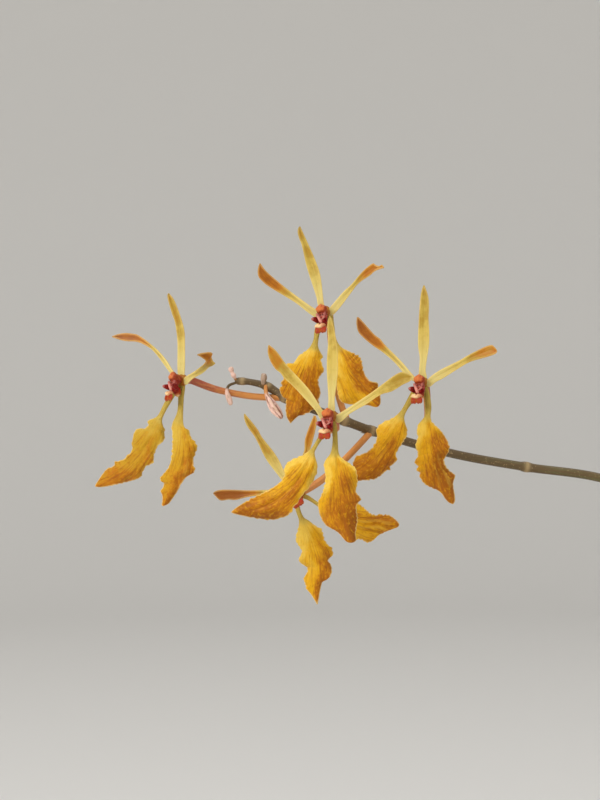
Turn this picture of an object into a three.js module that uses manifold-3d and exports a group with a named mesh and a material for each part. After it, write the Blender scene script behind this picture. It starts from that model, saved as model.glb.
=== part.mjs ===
// Potted renanthera orchid: five waved blooms on an arching flower stem, a leafy
// upright stem with silvery roots, and bark in a plain terracotta pot.
// Millimetres, +Z up, the pot's base centre at the origin, the blooms at -X facing -Y.
import * as THREE from 'three';
import { mergeVertices } from 'three/addons/utils/BufferGeometryUtils.js';
import Module from 'manifold-3d';

const wasm = await Module();
wasm.setup();

// Clearance between pieces that touch
const GAP = 0.3;

// Pot
const POT_HEIGHT = 115;
const POT_TOP_RADIUS = 65;
const POT_BASE_RADIUS = 46;
const POT_FLOOR = 7;
const POT_INNER_BASE = 39.5;
const POT_INNER_TOP = 57.5;
const RIM_HEIGHT = 22;
const RIM_STEP = 3;
const EDGE_ROUND = 1.5;
const POT_SIDES = 48;
const DRAIN_RADIUS = 2.5;
const DRAIN_RING_RADIUS = 24;
const DRAIN_COUNT = 4;

// Bark bed
const BED_EDGE_HEIGHT = 99;
const BED_MIDDLE_HEIGHT = 103;
const CHIP_RINGS = [[43.5, 12], [32, 9], [19, 6]];
const CHIP_SIZE = [14, 10, 7];

// Upright stem and its leaves in two ranks
const STEM_FOOT = 70;
const STEM_TOP = 338;
const SHOOT_LENGTH = 34;
const STEM_RADIUS = 5;
const SHEATH_FLARE = 0.8;
const FIRST_LEAF_HEIGHT = 126;
const LEAF_PITCH = 19;
const LEAF_COUNT = 12;
const LEAF_THICKNESS = 1.4;
const LEAF_LENGTH = 102;
const LEAF_WIDTH = 19;
const LEAF_STRAY = 7;
const LEAF_SEAT = 3.5;
const RIGHT_RANK = 30;
const LEFT_RANK = 210;

// Flower stem and blooms
const PEDUNCLE_RADIUS = 1.9;
const RACHIS_RADIUS = 1.35;
const PEDICEL_RADIUS = 1.15;
const HUB_RADIUS = 1.9;
const HUB_DEPTH = 1.0;
const SEPAL_THICKNESS = 0.85;
const SEPAL_ROOT = 0.3;
const PETAL_THICKNESS = 0.7;
const CHANNEL_DEPTH = 0.2;

// The spray's outlines are drawn in the plane y = 0 as seen from this point, and
// whatever lies nearer or farther slides along its line of sight.
const VIEW_POINT = new THREE.Vector3(-215, -500, 356);

const COLOURS = {
  terracotta: { color: 0xb5683f, roughness: 0.9, metalness: 0 },
  bark: { color: 0x5d3a22, roughness: 0.95, metalness: 0 },
  sheath: { color: 0x7d7a45, roughness: 0.8, metalness: 0 },
  leaf: { color: 0x3f6b2c, roughness: 0.45, metalness: 0 },
  root: { color: 0xc3c4b4, roughness: 0.8, metalness: 0 },
  flowerStem: { color: 0x5b4a33, roughness: 0.6, metalness: 0 },
  pedicel: { color: 0xd98a5c, roughness: 0.5, metalness: 0 },
  bud: { color: 0xc98a66, roughness: 0.5, metalness: 0 },
  tepal: { color: 0xe9a437, roughness: 0.45, metalness: 0 },
  column: { color: 0xd8431c, roughness: 0.4, metalness: 0 },
  lip: { color: 0x9e1a18, roughness: 0.4, metalness: 0 },
};

// Lateral sepals, base to tip: left edge x, z and right edge x, z from the hub
const LEFT_OUTER = [
  [-1.8, -1.2, -0.6, -2.1], [-5.1, -6.3, -3.3, -7.2], [-7.2, -10.2, -5.7, -11.4],
  [-9.6, -12.0, -5.4, -15.6], [-13.8, -15.0, -5.4, -18.3], [-15.0, -19.5, -8.4, -22.8],
  [-16.8, -22.2, -9.0, -25.2], [-20.4, -24.3, -12.0, -27.3], [-22.8, -26.7, -14.7, -30.0],
  [-24.6, -29.4, -20.1, -31.2], [-26.1, -31.5, -25.2, -32.1],
];
const LEFT_INNER = [
  [-0.9, -1.2, 0.9, -1.2], [-0.9, -8.4, 0.6, -8.4], [-3.0, -13.2, 0.9, -14.4],
  [-2.7, -17.4, 3.3, -18.0], [-3.3, -21.6, 4.5, -21.0], [-3.6, -24.9, 3.9, -24.6],
  [-5.4, -28.2, 3.6, -27.9], [-6.6, -30.0, 0.6, -30.3], [-6.6, -33.6, -1.2, -33.3],
  [-5.7, -37.2, -4.2, -37.2],
];
const TOP_LEFT = [
  [-1.8, -1.8, -0.3, -2.4], [-3.0, -6.0, -1.5, -6.0], [-3.9, -9.6, -2.1, -9.9],
  [-6.6, -12.0, -1.2, -12.6], [-8.7, -13.8, -0.9, -15.6], [-11.4, -15.6, -0.3, -18.3],
  [-13.2, -19.8, -1.8, -20.4], [-13.2, -24.3, -1.2, -24.6], [-12.0, -27.3, -2.1, -28.8],
  [-11.7, -30.6, -6.6, -30.9], [-10.8, -32.7, -9.6, -32.7],
];
const TOP_RIGHT = [
  [0.3, -0.6, 1.8, 0.0], [1.2, -4.8, 2.7, -3.9], [2.4, -8.7, 4.2, -8.7],
  [2.7, -12.0, 7.5, -11.4], [3.0, -15.6, 10.8, -13.8], [3.3, -19.8, 11.7, -18.0],
  [3.6, -23.4, 13.8, -20.7], [4.5, -26.4, 15.9, -21.6], [8.1, -27.3, 16.5, -25.5],
  [12.3, -28.2, 15.9, -27.9],
];
const CENTER_LEFT = [
  [-1.8, -2.4, -0.3, -3.3], [-4.2, -6.6, -2.7, -7.2], [-7.2, -10.8, -5.1, -11.1],
  [-10.5, -12.3, -4.2, -14.1], [-13.8, -14.7, -3.9, -17.1], [-15.0, -18.9, -6.6, -21.6],
  [-18.9, -21.9, -9.9, -25.8], [-22.5, -24.0, -12.6, -29.7], [-25.8, -25.8, -18.3, -31.2],
  [-28.2, -27.6, -24.3, -30.3], [-29.7, -28.5, -29.1, -29.1],
];
const CENTER_RIGHT = [
  [0.0, -2.4, 1.5, -2.1], [0.3, -7.2, 2.1, -7.2], [0.0, -11.1, 2.4, -11.4],
  [-2.1, -13.5, 4.5, -13.5], [-2.4, -16.8, 7.5, -15.9], [-2.1, -20.7, 8.1, -19.5],
  [-3.3, -24.3, 8.7, -24.3], [-3.9, -27.6, 7.8, -27.0], [-1.8, -32.7, 8.1, -30.6],
  [2.1, -35.1, 7.5, -34.2], [4.2, -37.5, 6.9, -37.5],
];
const RIGHT_LEFT = [
  [-2.4, -1.8, -0.9, -2.7], [-4.2, -5.4, -2.7, -6.3], [-6.9, -9.0, -5.4, -10.2],
  [-10.2, -11.1, -4.8, -13.2], [-13.2, -13.8, -4.5, -16.8], [-13.8, -17.4, -6.6, -19.8],
  [-15.6, -19.8, -7.8, -22.2], [-18.3, -21.3, -8.1, -24.3], [-19.8, -23.7, -10.8, -26.7],
  [-21.0, -26.4, -14.4, -29.4], [-22.8, -29.7, -21.0, -30.9],
];
const RIGHT_RIGHT = [
  [-0.3, -1.8, 1.5, -1.2], [0.3, -6.0, 2.7, -5.4], [0.6, -10.2, 3.0, -10.2],
  [-1.5, -13.2, 4.5, -13.2], [-1.5, -16.2, 6.9, -16.2], [-2.1, -19.2, 8.1, -20.1],
  [-1.5, -22.2, 6.6, -23.7], [-2.7, -24.6, 7.5, -26.1], [-0.9, -28.2, 9.9, -28.5],
  [1.8, -31.2, 9.9, -31.8], [5.7, -33.3, 9.9, -34.5], [8.1, -36.3, 9.9, -36.3],
];
const LOWER_DOWN = [
  [-0.9, -0.9, 0.6, -1.2], [-1.5, -3.6, 0.0, -3.3], [0.0, -7.8, 1.8, -7.5],
  [-0.3, -10.5, 5.7, -9.6], [-0.9, -14.1, 7.2, -13.5], [0.9, -17.4, 9.9, -16.5],
  [0.0, -20.1, 8.7, -20.1], [2.7, -22.8, 9.9, -22.8], [1.5, -26.1, 9.3, -25.8],
  [2.1, -28.5, 6.6, -27.6], [3.9, -31.2, 6.3, -30.9], [5.1, -33.0, 6.0, -33.0],
];
const LOWER_RIGHT = [
  [1.2, -1.5, 0.9, 0.0], [3.3, -3.0, 3.9, -1.5], [6.6, -4.8, 7.5, -3.3],
  [8.4, -7.2, 10.5, -2.7], [11.4, -10.8, 14.1, -2.1], [14.1, -13.2, 17.7, -3.0],
  [17.4, -14.1, 20.7, -5.1], [20.4, -15.0, 23.7, -6.3], [23.4, -13.8, 26.4, -6.3],
  [26.4, -11.7, 28.5, -7.5], [29.1, -10.5, 30.0, -9.0],
];

// Each bloom: hub x, z in the outline plane, hub depth y, and how far it faces left,
// nods down and leans over in degrees. A narrow tepal has four points on its middle
// line (x, z from the hub and how far it stands forward), its width and its claw's.
const BLOOMS = [
  {
    name: 'left', hub: [-250.4, 362.0], depth: 0, facing: 27, nod: 0, lean: 4,
    sepals: [
      { edges: LEFT_OUTER, bow: 2.5, wave: 0.9, turns: 2.5, phase: 0.1 },
      { edges: LEFT_INNER, bow: 3.0, wave: 0.9, turns: 2.3, phase: 0.6 },
    ],
    narrow: [
      {
        width: 2.4, claw: 1.3,
        line: [[0, 0.6, 0], [0.3, 10.5, 0.4], [-0.9, 19.2, 1.5], [-4.2, 26.4, 3.5]],
      },
      {
        width: 2.1, claw: 1.0,
        line: [[-1.5, 0.9, 0], [-7.2, 8.1, 0], [-13.5, 12.3, 0.5], [-21.0, 13.2, 2]],
      },
      {
        width: 2.1, claw: 1.2,
        line: [[1.2, 0.2, 0], [5.7, 3.0, 3], [9.6, 5.4, 9], [4.8, 7.8, 15]],
      },
    ],
  },
  {
    name: 'top', hub: [-207.5, 382.4], depth: -5, facing: 14, nod: 3, lean: 8,
    sepals: [
      { edges: TOP_LEFT, bow: 2.0, wave: 0.9, turns: 2.4, phase: 0.3 },
      { edges: TOP_RIGHT, bow: 2.5, wave: 0.9, turns: 2.2, phase: 0.8 },
    ],
    narrow: [
      {
        width: 3.3, claw: 1.5,
        line: [[-0.6, 1.8, 0], [-2.7, 11.1, 0.5], [-5.4, 19.2, 1], [-7.8, 25.8, 2.5]],
      },
      {
        width: 2.7, claw: 1.4,
        line: [[-1.6, 0.6, 0], [-8.1, 4.2, 0.5], [-15.0, 9.0, 1], [-19.8, 14.7, 3]],
      },
      {
        width: 2.4, claw: 1.5,
        line: [[1.2, 0.6, 0], [6.0, 6.0, 0.5], [11.4, 11.4, 1], [17.7, 13.5, 3]],
      },
    ],
  },
  {
    name: 'center', hub: [-205.7, 351.2], depth: -34, facing: 12, nod: 2, lean: 2,
    sepals: [
      { edges: CENTER_LEFT, bow: 2.0, wave: 1.0, turns: 2.5, phase: 0.0 },
      { edges: CENTER_RIGHT, bow: 3.0, wave: 1.0, turns: 2.6, phase: 0.5 },
    ],
    narrow: [
      {
        width: 3.8, claw: 1.7,
        line: [[0.4, 1.4, 0], [0.6, 10.8, 0.5], [0.6, 19.8, 0.5], [-0.3, 30.3, -1]],
      },
      {
        width: 3.0, claw: 1.9,
        line: [[-1.6, 1.0, 0], [-7.8, 6.9, 0.5], [-13.8, 13.8, 0.5], [-18.9, 21.3, 1]],
      },
      {
        width: 3.0, claw: 1.7,
        line: [[1.5, -0.1, 0], [8.1, 3.3, 0.5], [15.6, 8.1, 1], [24.3, 12.6, 1]],
      },
    ],
  },
  {
    name: 'right', hub: [-178.4, 361.4], depth: -8, facing: 14, nod: 2, lean: 2,
    sepals: [
      { edges: RIGHT_LEFT, bow: 2.0, wave: 0.9, turns: 2.5, phase: 0.2 },
      { edges: RIGHT_RIGHT, bow: 2.5, wave: 0.9, turns: 2.6, phase: 0.7 },
    ],
    narrow: [
      {
        width: 3.3, claw: 1.6,
        line: [[0, 1.4, 0], [0.6, 11.1, 0.5], [0.6, 20.1, 0.5], [0.6, 29.1, -0.5]],
      },
      {
        width: 2.7, claw: 1.2,
        line: [[-1.5, 1.0, 0], [-8.1, 7.2, 0], [-15.0, 13.5, 0], [-19.5, 19.8, 0.5]],
      },
      {
        width: 2.4, claw: 1.5,
        line: [[1.2, -0.2, 0], [8.4, 4.2, 0.5], [15.9, 8.1, 1], [22.5, 9.9, 2]],
      },
    ],
  },
  {
    name: 'lower', hub: [-215.3, 328.1], depth: -12, facing: 10, nod: 0, lean: 32,
    sepals: [
      { edges: LOWER_DOWN, bow: 2.0, wave: 0.9, turns: 2.6, phase: 0.4 },
      { edges: LOWER_RIGHT, bow: 2.0, wave: 0.9, turns: 2.3, phase: 0.9 },
    ],
    narrow: [
      {
        width: 2.8, claw: 1.4,
        line: [[-1.0, 1.2, 0], [-7.5, 9.9, 0], [-12.3, 16.8, 0], [-16.5, 24.0, 1]],
      },
      {
        width: 2.8, claw: 1.4,
        line: [[-1.5, 0.4, 0], [-10.2, 0.3, 0.5], [-17.7, -0.6, 1], [-25.8, 0, 2]],
      },
      {
        width: 2.7, claw: 1.5,
        line: [[0.7, 1.2, 0], [1.8, 8.4, 0], [3.0, 15.9, 0], [4.8, 24.0, 1]],
      },
    ],
  },
];

// Flower stem: its middle line from the leaf axil to its tip
const FLOWER_STEM_ROUTE = [
  [-2.0, 0, 238], [-9, 0.9, 248], [-30, 4, 275.5], [-60, 9, 303], [-92, 13.5, 322],
  [-122.1, 16, 331.9], [-145.0, 14, 335.3], [-168.9, 12, 339.7], [-193.1, 8, 346.6],
  [-201.3, 6, 349.6], [-212.0, 8, 353.6], [-219.6, 9, 356.6], [-224.8, 10, 360.0],
  [-230.3, 10, 361.5], [-234.9, 10, 361.8],
];

// Its nodes, as shares of the way along, and how far a node's ring reaches
const STEM_NODES = [0.2, 0.385, 0.52, 0.655, 0.7725, 0.835, 0.868, 0.94, 0.9625];
const NODE_REACH = 0.007;

const BRACT_RADIUS = 1.5;
const BRACTS = [
  { at: [-176.4, 11.2, 341.2], toward: [-0.7, 0.6, -0.55], length: 3.6 },
  { at: [-193.4, 8.6, 346.4], toward: [-0.85, 0.5, -0.25], length: 3.6 },
  { at: [-202.6, 6.8, 349.6], toward: [-0.8, 0.6, -0.2], length: 3.4 },
  { at: [-220.4, 9.6, 356.6], toward: [-0.5, 0.8, -0.4], length: 3.2 },
  { at: [-225.2, 10.4, 360.2], toward: [-0.3, 0.6, 0.8], length: 3.4 },
];

// Undeveloped buds: ends of the middle line, how far it bends forward, and its radii
const BUDS = [
  { from: [-234.3, 9.6, 361.8], to: [-236.9, 8.6, 366.6], bend: 0.3, neck: 0.7, belly: 1.35, widest: 0.85 },
  { from: [-235.2, 9.6, 361.4], to: [-236.8, 6.0, 354.4], bend: 1.2, neck: 0.6, belly: 1.0, widest: 0.7 },
  { from: [-226.8, 9.4, 360.6], to: [-226.4, 6.0, 364.6], bend: 0.6, neck: 0.9, belly: 1.1, widest: 0.5 },
  { from: [-225.2, 8.8, 360.2], to: [-219.9, 3.2, 350.3], bend: 1.5, neck: 1.0, belly: 1.85, widest: 0.62 },
];

// Pedicel routes from the flower stem's middle line to the hub's back
const PEDICEL_ROUTES = {
  left: [[-219.6, 9, 356.6], [-230.3, 10, 357.2], [-240.8, 8.2, 359.3]],
  top: [[-200.6, 6.2, 349.3], [-203.2, 6.4, 357], [-205.3, 5, 371]],
  center: [[-204.8, 6.6, 350.9], [-204.6, -4, 348.2], [-204.6, -18, 348]],
  right: [[-176.7, 11, 341.1], [-176.6, 8.5, 346], [-176.5, 3, 353]],
  lower: [[-193.1, 8, 346.6], [-201.5, 3, 338], [-209.0, -3, 331.8]],
};

// Roots from the upright stem: into the bark, or over the rim
const ROOT_ROUTES = [
  [[0, 0, 117], [-12, -7, 119], [-25, -16, 115], [-33, -24, 103], [-35, -27, 90]],
  [[0, 0, 112], [8, -10, 113], [15, -22, 111], [19, -30, 102], [20, -33, 89]],
  [
    [0, 0, 116.5], [17, -3, 120.5], [43, -7, 125.5], [58, -8.5, 124], [66.4, -9.3, 119.4],
    [69.2, -9.6, 108], [67.8, -9, 88], [62, -7, 54],
  ],
  [
    [0, 0, 113.5], [-8, 13, 117.5], [-19, 32, 124], [-28, 48.6, 124], [-33.4, 58.1, 119.4],
    [-34.8, 60.5, 108], [-33.6, 59.2, 88], [-30, 54, 70],
  ],
];
const ROOT_RADIUS = 2.2;

// Repeatable random numbers between 0 and 1
function seededRandom(seed) {
  let state = seed;
  return () => {
    state = (state * 1664525 + 1013904223) % 4294967296;
    return state / 4294967296;
  };
}

function smoothstep(from, to, value) {
  return THREE.MathUtils.smoothstep(value, from, to);
}

function toVectors(points) {
  return points.map((p) => new THREE.Vector3(...p));
}

// Position-only copy with shared vertices, no empty triangles and its faces out
function welded(geometry) {
  const bare = new THREE.BufferGeometry();
  bare.setAttribute('position', geometry.getAttribute('position'));
  bare.setIndex(geometry.getIndex());
  const merged = mergeVertices(bare, 1e-4);
  const index = merged.getIndex().array;
  const kept = [];
  for (let i = 0; i < index.length; i += 3) {
    const [a, b, c] = [index[i], index[i + 1], index[i + 2]];
    if (a !== b && b !== c && c !== a) {
      kept.push(a, b, c);
    }
  }
  merged.setIndex(kept);
  if (signedVolume(merged) < 0) {
    merged.setIndex(kept.map((_, i) => kept[i - (i % 3) + (2 - (i % 3))]));
  }
  return merged;
}

function signedVolume(geometry) {
  const position = geometry.getAttribute('position');
  const index = geometry.getIndex().array;
  const [a, b, c] = [new THREE.Vector3(), new THREE.Vector3(), new THREE.Vector3()];
  let volume = 0;
  for (let i = 0; i < index.length; i += 3) {
    a.fromBufferAttribute(position, index[i]);
    b.fromBufferAttribute(position, index[i + 1]);
    c.fromBufferAttribute(position, index[i + 2]);
    volume += a.dot(b.cross(c)) / 6;
  }
  return volume;
}

function solidOf(geometry) {
  const mesh = welded(geometry);
  return new wasm.Manifold(new wasm.Mesh({
    numProp: 3,
    vertProperties: new Float32Array(mesh.getAttribute('position').array),
    triVerts: new Uint32Array(mesh.getIndex().array),
  }));
}

function geometryOf(solid) {
  const mesh = solid.getMesh();
  const geometry = new THREE.BufferGeometry();
  geometry.setAttribute('position', new THREE.BufferAttribute(mesh.vertProperties, 3));
  geometry.setIndex(new THREE.BufferAttribute(mesh.triVerts, 1));
  return geometry;
}

function joined(geometries) {
  return geometries.map(solidOf).reduce((whole, solid) => whole.add(solid));
}

// Closed skin over rings of equal count, with a flat fan at each end
function loftGeometry(rings) {
  const sides = rings[0].length;
  const positions = rings.flat().flatMap((p) => [p.x, p.y, p.z]);
  const index = [];
  for (let ring = 0; ring + 1 < rings.length; ring++) {
    for (let side = 0; side < sides; side++) {
      const a = ring * sides + side;
      const b = ring * sides + ((side + 1) % sides);
      index.push(a, b, b + sides, a, b + sides, a + sides);
    }
  }
  for (const [first, flip] of [[0, true], [(rings.length - 1) * sides, false]]) {
    for (let side = 1; side + 1 < sides; side++) {
      const fan = [first, first + side, first + side + 1];
      index.push(...(flip ? fan.reverse() : fan));
    }
  }
  const geometry = new THREE.BufferGeometry();
  geometry.setAttribute('position', new THREE.Float32BufferAttribute(positions, 3));
  geometry.setIndex(index);
  return geometry;
}

function evenStations(steps) {
  return Array.from({ length: steps + 1 }, (_, i) => i / steps);
}

// Round tube along a curve, with rings at the given stations from 0 to 1 and its
// radius a function of the way along
function tubeGeometry(points, radiusAt, sides, stations) {
  const curve = new THREE.CatmullRomCurve3(toVectors(points));
  const normal = new THREE.Vector3(0.31, 0.23, 0.92);
  const rings = stations.map((along) => {
    const centre = curve.getPointAt(along);
    const tangent = curve.getTangentAt(along);
    normal.projectOnPlane(tangent).normalize();
    const binormal = tangent.clone().cross(normal);
    const radius = radiusAt(along);
    return Array.from({ length: sides }, (_, side) => {
      const angle = (2 * Math.PI * side) / sides;
      return centre.clone()
        .addScaledVector(normal, radius * Math.cos(angle))
        .addScaledVector(binormal, radius * Math.sin(angle));
    });
  });
  return loftGeometry(rings);
}

// Body of revolution about Z from a profile of radius and height
function turnedGeometry(profile, sides) {
  const lathe = new THREE.LatheGeometry(profile.map(([r, z]) => new THREE.Vector2(r, z)), sides);
  return lathe.rotateX(Math.PI / 2);
}

function ellipsoidGeometry(centre, radii, across, up) {
  return new THREE.SphereGeometry(1, across, up)
    .scale(...radii)
    .translate(...centre);
}

// Thin blade: a grid on its middle surface, thickened along a given or its own normal.
// Both faces are split along the same diagonals.
function bladeGeometry(surface, alongCount, acrossCount, thickness, direction) {
  const middle = [];
  const normals = [];
  const step = 1e-3;
  for (let i = 0; i <= alongCount; i++) {
    for (let j = 0; j <= acrossCount; j++) {
      const u = i / alongCount;
      const v = (2 * j) / acrossCount - 1;
      middle.push(surface(u, v));
      const alongTangent = surface(Math.min(u + step, 1), v).sub(surface(Math.max(u - step, 0), v));
      const acrossTangent = surface(u, Math.min(v + step, 1)).sub(surface(u, Math.max(v - step, -1)));
      normals.push(direction || acrossTangent.cross(alongTangent).normalize());
    }
  }
  const row = acrossCount + 1;
  const count = middle.length;
  const positions = [1, -1].flatMap((side) => middle.flatMap((p, k) => {
    const q = p.clone().addScaledVector(normals[k], (side * thickness) / 2);
    return [q.x, q.y, q.z];
  }));
  const index = [];
  for (let i = 0; i < alongCount; i++) {
    for (let j = 0; j < acrossCount; j++) {
      const a = i * row + j;
      const [b, c, d] = [a + 1, a + row, a + row + 1];
      index.push(a, b, d, a, d, c);
      index.push(count + a, count + d, count + b, count + a, count + c, count + d);
    }
  }
  const countTo = (end) => Array.from({ length: end }, (_, k) => k);
  const rim = [
    ...countTo(acrossCount),
    ...countTo(alongCount).map((i) => i * row + acrossCount),
    ...countTo(acrossCount).map((j) => count - 1 - j),
    ...countTo(alongCount).map((i) => (alongCount - i) * row),
  ];
  rim.forEach((a, k) => {
    const b = rim[(k + 1) % rim.length];
    index.push(a, count + a, count + b, a, count + b, b);
  });
  const geometry = new THREE.BufferGeometry();
  geometry.setAttribute('position', new THREE.Float32BufferAttribute(positions, 3));
  geometry.setIndex(index);
  return geometry;
}

function pieceOf(name, geometry, colour) {
  const piece = new THREE.Mesh(geometry, new THREE.MeshStandardMaterial(COLOURS[colour]));
  piece.name = name;
  return piece;
}

// Point in the outline plane, slid along its line of sight to the depth y
function sightPoint(x, z, y) {
  const reach = (y - VIEW_POINT.y) / -VIEW_POINT.y;
  return new THREE.Vector3(
    VIEW_POINT.x + (x - VIEW_POINT.x) * reach,
    y,
    VIEW_POINT.z + (z - VIEW_POINT.z) * reach,
  );
}

function potInnerRadius(z) {
  const along = (z - POT_FLOOR) / (POT_HEIGHT - POT_FLOOR);
  return POT_INNER_BASE + (POT_INNER_TOP - POT_INNER_BASE) * along;
}

function makePot() {
  const rimFoot = POT_HEIGHT - RIM_HEIGHT;
  const rimFootRadius = POT_TOP_RADIUS - 2.5;
  const outer = [
    [0, 0], [POT_BASE_RADIUS - EDGE_ROUND, 0], [POT_BASE_RADIUS, EDGE_ROUND],
    [rimFootRadius - RIM_STEP, rimFoot - EDGE_ROUND], [rimFootRadius, rimFoot],
    [POT_TOP_RADIUS, POT_HEIGHT - EDGE_ROUND], [POT_TOP_RADIUS - EDGE_ROUND, POT_HEIGHT],
  ];
  const inner = [
    [potInnerRadius(POT_HEIGHT) + EDGE_ROUND, POT_HEIGHT],
    [potInnerRadius(POT_HEIGHT - EDGE_ROUND), POT_HEIGHT - EDGE_ROUND],
    [POT_INNER_BASE, POT_FLOOR], [0, POT_FLOOR],
  ];
  let pot = solidOf(turnedGeometry([...outer, ...inner], POT_SIDES));
  for (let i = 0; i < DRAIN_COUNT; i++) {
    const angle = (2 * Math.PI * (i + 0.5)) / DRAIN_COUNT;
    const hole = new THREE.CylinderGeometry(DRAIN_RADIUS, DRAIN_RADIUS, 3 * POT_FLOOR, 8)
      .rotateX(Math.PI / 2)
      .translate(DRAIN_RING_RADIUS * Math.cos(angle), DRAIN_RING_RADIUS * Math.sin(angle), 0);
    pot = pot.subtract(solidOf(hole));
  }
  return pieceOf('pot', geometryOf(pot), 'terracotta');
}

// One wedge-cut chip of bark, tipped and turned at random
function chipGeometry(radius, angle, random) {
  const stretch = () => 0.75 + 0.5 * random();
  const [length, width, height] = CHIP_SIZE;
  const ground = THREE.MathUtils.lerp(BED_MIDDLE_HEIGHT, BED_EDGE_HEIGHT, radius / POT_INNER_TOP);
  return new THREE.BoxGeometry(length * stretch(), width * stretch(), height)
    .rotateX(0.5 * (random() - 0.5))
    .rotateY(0.5 * (random() - 0.5))
    .rotateZ(2 * Math.PI * random())
    .translate(radius * Math.cos(angle), radius * Math.sin(angle), ground);
}

function makeBark(holes) {
  const random = seededRandom(7);
  const edgeRadius = potInnerRadius(BED_EDGE_HEIGHT) - GAP;
  let bed = solidOf(turnedGeometry([
    [0, POT_FLOOR + GAP], [POT_INNER_BASE - GAP, POT_FLOOR + GAP],
    [edgeRadius, BED_EDGE_HEIGHT], [0, BED_MIDDLE_HEIGHT],
  ], POT_SIDES / 2));
  for (const [radius, count] of CHIP_RINGS) {
    for (let i = 0; i < count; i++) {
      const angle = (2 * Math.PI * (i + 0.6 * random())) / count;
      bed = bed.add(solidOf(chipGeometry(radius, angle, random)));
    }
  }
  for (const hole of holes) {
    bed = bed.subtract(hole);
  }
  return pieceOf('bark_medium', geometryOf(bed), 'bark');
}

// Stem of overlapping sheaths, each flaring a little to its upper edge, and the
// rolled young leaf at its tip
function stemSolid(clearance) {
  const levels = [STEM_FOOT - clearance];
  for (let z = FIRST_LEAF_HEIGHT; z < STEM_TOP; z += LEAF_PITCH) {
    levels.push(z);
  }
  const profile = [[0, levels[0]], [STEM_RADIUS + clearance, levels[0]]];
  for (const level of levels.slice(1)) {
    profile.push([STEM_RADIUS + SHEATH_FLARE + clearance, level - 1]);
    profile.push([STEM_RADIUS + clearance, level]);
  }
  profile.push([0.8 * STEM_RADIUS + clearance, STEM_TOP]);
  profile.push([0.55 * STEM_RADIUS + clearance, STEM_TOP + 0.4 * SHOOT_LENGTH]);
  profile.push([0, STEM_TOP + SHOOT_LENGTH + clearance]);
  return solidOf(turnedGeometry(profile, 12));
}

// Strap leaf: wraps the stem at its base, arches out, and ends in two unequal lobes
function leafSurface(level, rank, length, width, startSlope, endSlope) {
  const samples = 60;
  const outward = new THREE.Vector3(Math.cos(rank), Math.sin(rank), 0);
  const side = new THREE.Vector3(-outward.y, outward.x, 0);
  const wrapRadius = STEM_RADIUS + SHEATH_FLARE + GAP + LEAF_THICKNESS / 2;
  const line = [new THREE.Vector3().addScaledVector(outward, wrapRadius).setZ(level)];
  const slopeAt = (s) => THREE.MathUtils.lerp(startSlope, endSlope, smoothstep(-0.35, 1, s));
  for (let i = 0; i < samples; i++) {
    const slope = slopeAt((i + 0.5) / samples);
    line.push(line[i].clone()
      .addScaledVector(outward, (Math.cos(slope) * length) / samples)
      .setZ(line[i].z + (Math.sin(slope) * length) / samples));
  }
  return (u, v) => {
    const lobes = 1 - 0.05 * Math.exp(-((v / 0.35) ** 2)) - 0.035 * (v > 0 ? v : 0);
    const s = u * THREE.MathUtils.lerp(1, lobes, smoothstep(0.6, 1, u));
    const at = Math.min(s * samples, samples - 1e-6);
    const k = Math.floor(at);
    const centre = line[k].clone().lerp(line[k + 1], at - k);
    const slope = slopeAt(s);
    const upper = new THREE.Vector3(0, 0, Math.cos(slope)).addScaledVector(outward, -Math.sin(slope));
    const wrap = 1 - smoothstep(0.06, 0.45, s);
    const curvature = THREE.MathUtils.lerp(1 / 26, 1 / wrapRadius, wrap);
    const taper = Math.sqrt(Math.max(1 - smoothstep(0.8, 1.06, s) * 0.9, 0));
    const half = (v * width * taper * (0.86 + 0.14 * Math.sin(Math.PI * s))) / 2;
    return centre
      .addScaledVector(side, Math.sin(half * curvature) / curvature)
      .addScaledVector(upper, (1 - Math.cos(half * curvature)) / curvature);
  };
}

function makeLeaves() {
  const pieces = [];
  for (let i = 0; i < LEAF_COUNT; i++) {
    const strayed = Math.sin(2.4 * i + 2.5);
    const rank = THREE.MathUtils.degToRad((i % 2 ? LEFT_RANK : RIGHT_RANK) + LEAF_STRAY * strayed);
    const level = FIRST_LEAF_HEIGHT + i * LEAF_PITCH - LEAF_SEAT;
    const high = i / (LEAF_COUNT - 1);
    const length = LEAF_LENGTH * (1 - 0.33 * high ** 3) + 4 * Math.sin(1.7 * i);
    const start = THREE.MathUtils.degToRad(80 + 4 * high);
    const end = THREE.MathUtils.degToRad(-42 + 88 * high ** 2 + 7 * Math.sin(3.1 * i));
    const surface = leafSurface(level, rank, length, LEAF_WIDTH - 3 * high, start, end);
    const blade = bladeGeometry(surface, 10, 4, LEAF_THICKNESS);
    pieces.push(pieceOf(`leaf_${String(i + 1).padStart(2, '0')}`, welded(blade), 'leaf'));
  }
  return pieces;
}

function rootGeometry(route, clearance) {
  const radiusAt = (s) => (ROOT_RADIUS + clearance) * (s > 0.93 ? 1 - 6 * (s - 0.93) : 1);
  return tubeGeometry(route, radiusAt, 8, evenStations(3 * route.length - 2));
}

function makeRoots(stemRoom) {
  return ROOT_ROUTES.map((route, i) => {
    const root = solidOf(rootGeometry(route, 0)).subtract(stemRoom);
    return pieceOf(`root_${i + 1}`, geometryOf(root), 'root');
  });
}

// Small pointed scale that stands off the stem under a branch
function bractGeometry(bract, clearance) {
  const heading = new THREE.Vector3(...bract.toward).normalize();
  const turn = new THREE.Quaternion().setFromUnitVectors(new THREE.Vector3(0, 1, 0), heading);
  return new THREE.ConeGeometry(BRACT_RADIUS + clearance, bract.length + clearance, 6)
    .scale(1, 1, 0.7)
    .translate(0, bract.length / 2, 0)
    .applyQuaternion(turn)
    .translate(...bract.at);
}

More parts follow.
